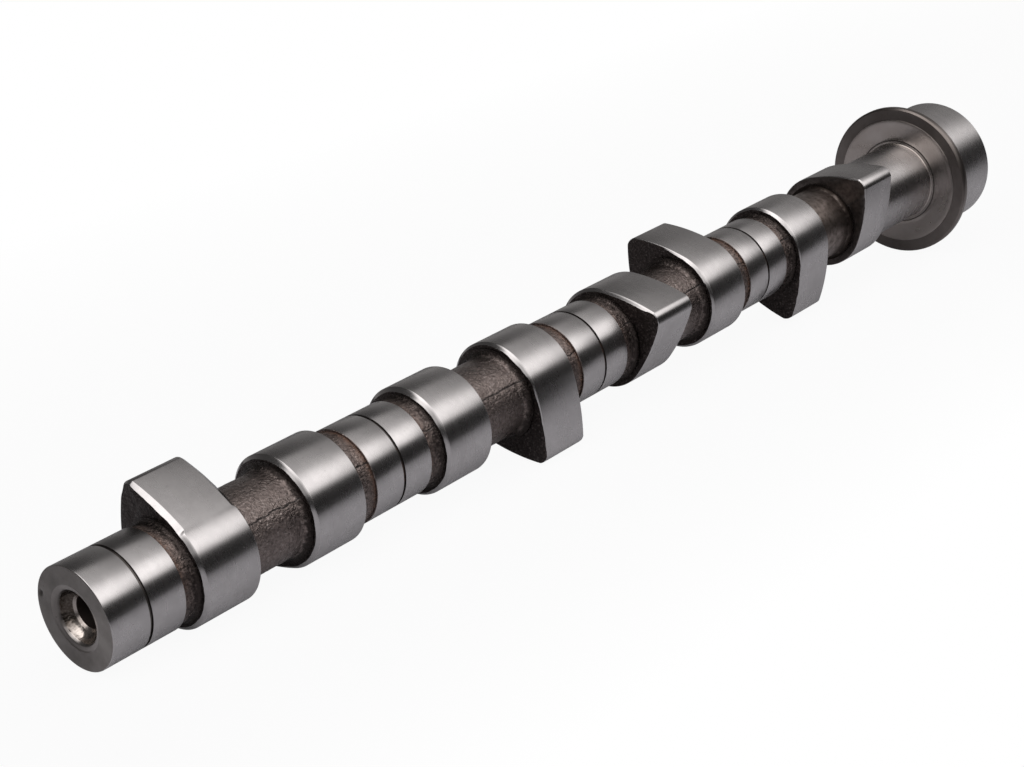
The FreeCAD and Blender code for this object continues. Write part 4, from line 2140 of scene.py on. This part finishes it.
    def floor_material(self) -> Material:
        """Writes the white paper.

        The camera, and glass, see it as the white ground with a faint shadow near the part. Metal sees the
        paper with painted light that fades to dark away from the part, the part's full shadow with a painted
        shadow behind it, and a little of the white.

        Returns:
            The material.
        """
        material = bpy.data.materials.new("pale_floor")
        material.use_nodes = True
        material.node_tree.nodes.clear()
        sheet = NodeSheet(material.node_tree)
        along, across, _ = sheet.split(sheet.add("ShaderNodeTexCoord").outputs["Object"])
        # Painted light on the paper, fading to dark towards the camera, far behind the part and beyond the
        # plain end.
        camera_side = sheet.spread(across, *self.paper_near)
        far_side = sheet.spread(across, *self.paper_far, to_low=1.0, to_high=0.0)
        lit = sheet.math("MULTIPLY", camera_side, far_side)
        lit = sheet.math("MULTIPLY", lit, sheet.spread(along, *self.paper_start))
        # Painted shadow: the paper behind the part is darker.
        behind = sheet.spread(across, *self.painted_shadow_span, to_low=1.0, to_high=self.painted_shadow_level)
        lit = sheet.math("MULTIPLY", lit, behind)
        paper = sheet.add("ShaderNodeBsdfDiffuse", {"Color": sheet.blend(lit, self.unlit_paper, self.paper)})
        white = sheet.add("ShaderNodeEmission", {"Strength": 1.0})
        rays = sheet.add("ShaderNodeLightPath").outputs
        seen = sheet.math("ADD", rays["Is Camera Ray"], rays["Is Transmission Ray"])
        seen = sheet.math("MULTIPLY", seen, sheet.math("MULTIPLY_ADD", lit, -self.shade, 1.0))
        mirrored = sheet.math("MULTIPLY", rays["Is Glossy Ray"], sheet.math("MULTIPLY", lit, self.mirrored))
        share = sheet.math("ADD", seen, mirrored)
        mixed = sheet.add("ShaderNodeMixShader", {0: share, 1: paper.outputs[0], 2: white.outputs[0]})
        sheet.add("ShaderNodeOutputMaterial", {"Surface": mixed.outputs[0]})
        return material

    def floor(self) -> Object:
        """Makes the floor, which touches the flange's rim and the first cam, as the part lies at rest.

        Returns:
            The floor.
        """
        front, back = self.touch_front, self.touch_back
        slope = (back[1] - front[1]) / (back[0] - front[0])
        reach = self.floor_reach
        corners = []
        for x, y in ((-reach, -reach), (reach, -reach), (reach, reach), (-reach, reach)):
            height = front[1] + slope * (x - front[0]) - self.floor_gap
            corners.append((x * MM, y * MM, height * MM))
        mesh = bpy.data.meshes.new("floor")
        mesh.from_pydata(corners, [], [(0, 1, 2, 3)])
        mesh.materials.append(self.floor_material())
        floor = stand("floor", mesh)
        return floor

    def camera(self) -> Object:
        """Sets the camera at the photograph's viewpoint.

        Returns:
            The camera.
        """
        data = bpy.data.cameras.new("viewpoint")
        data.lens = self.lens
        data.sensor_width = self.sensor
        data.clip_start, data.clip_end = self.clip
        camera = stand("viewpoint", data)
        right, up = Vector(self.camera_right).normalized(), Vector(self.camera_up)
        up = (up - right * up.dot(right)).normalized()
        turned = Matrix((right, up, right.cross(up))).transposed()
        camera.matrix_world = Matrix.Translation(Vector(self.camera_place) * MM) @ turned.to_4x4()
        bpy.context.scene.camera = camera
        return camera

    def build(self) -> None:
        """Sets up the whole studio."""
        bpy.context.scene.view_settings.view_transform = "Standard"
        self.sky()
        self.floor()
        self.camera()


def main() -> None:
    """Builds the studio and then every piece of the camshaft."""
    logging.basicConfig(level=logging.INFO, format="%(name)s %(message)s")
    Studio().build()
    book = FinishBook()
    book.write()
    bench = Bench(book)
    sizes = ShaftSizes()
    Waists(sizes).build(bench)
    PlainEnd(sizes).build(bench)
    Journals(sizes).build(bench)
    Cams(sizes).build(bench)
    drive_end = DriveEnd(sizes)
    drive_end.build(bench)
    drive_end.build_thread(bench)


if __name__ == "__main__":
    main()
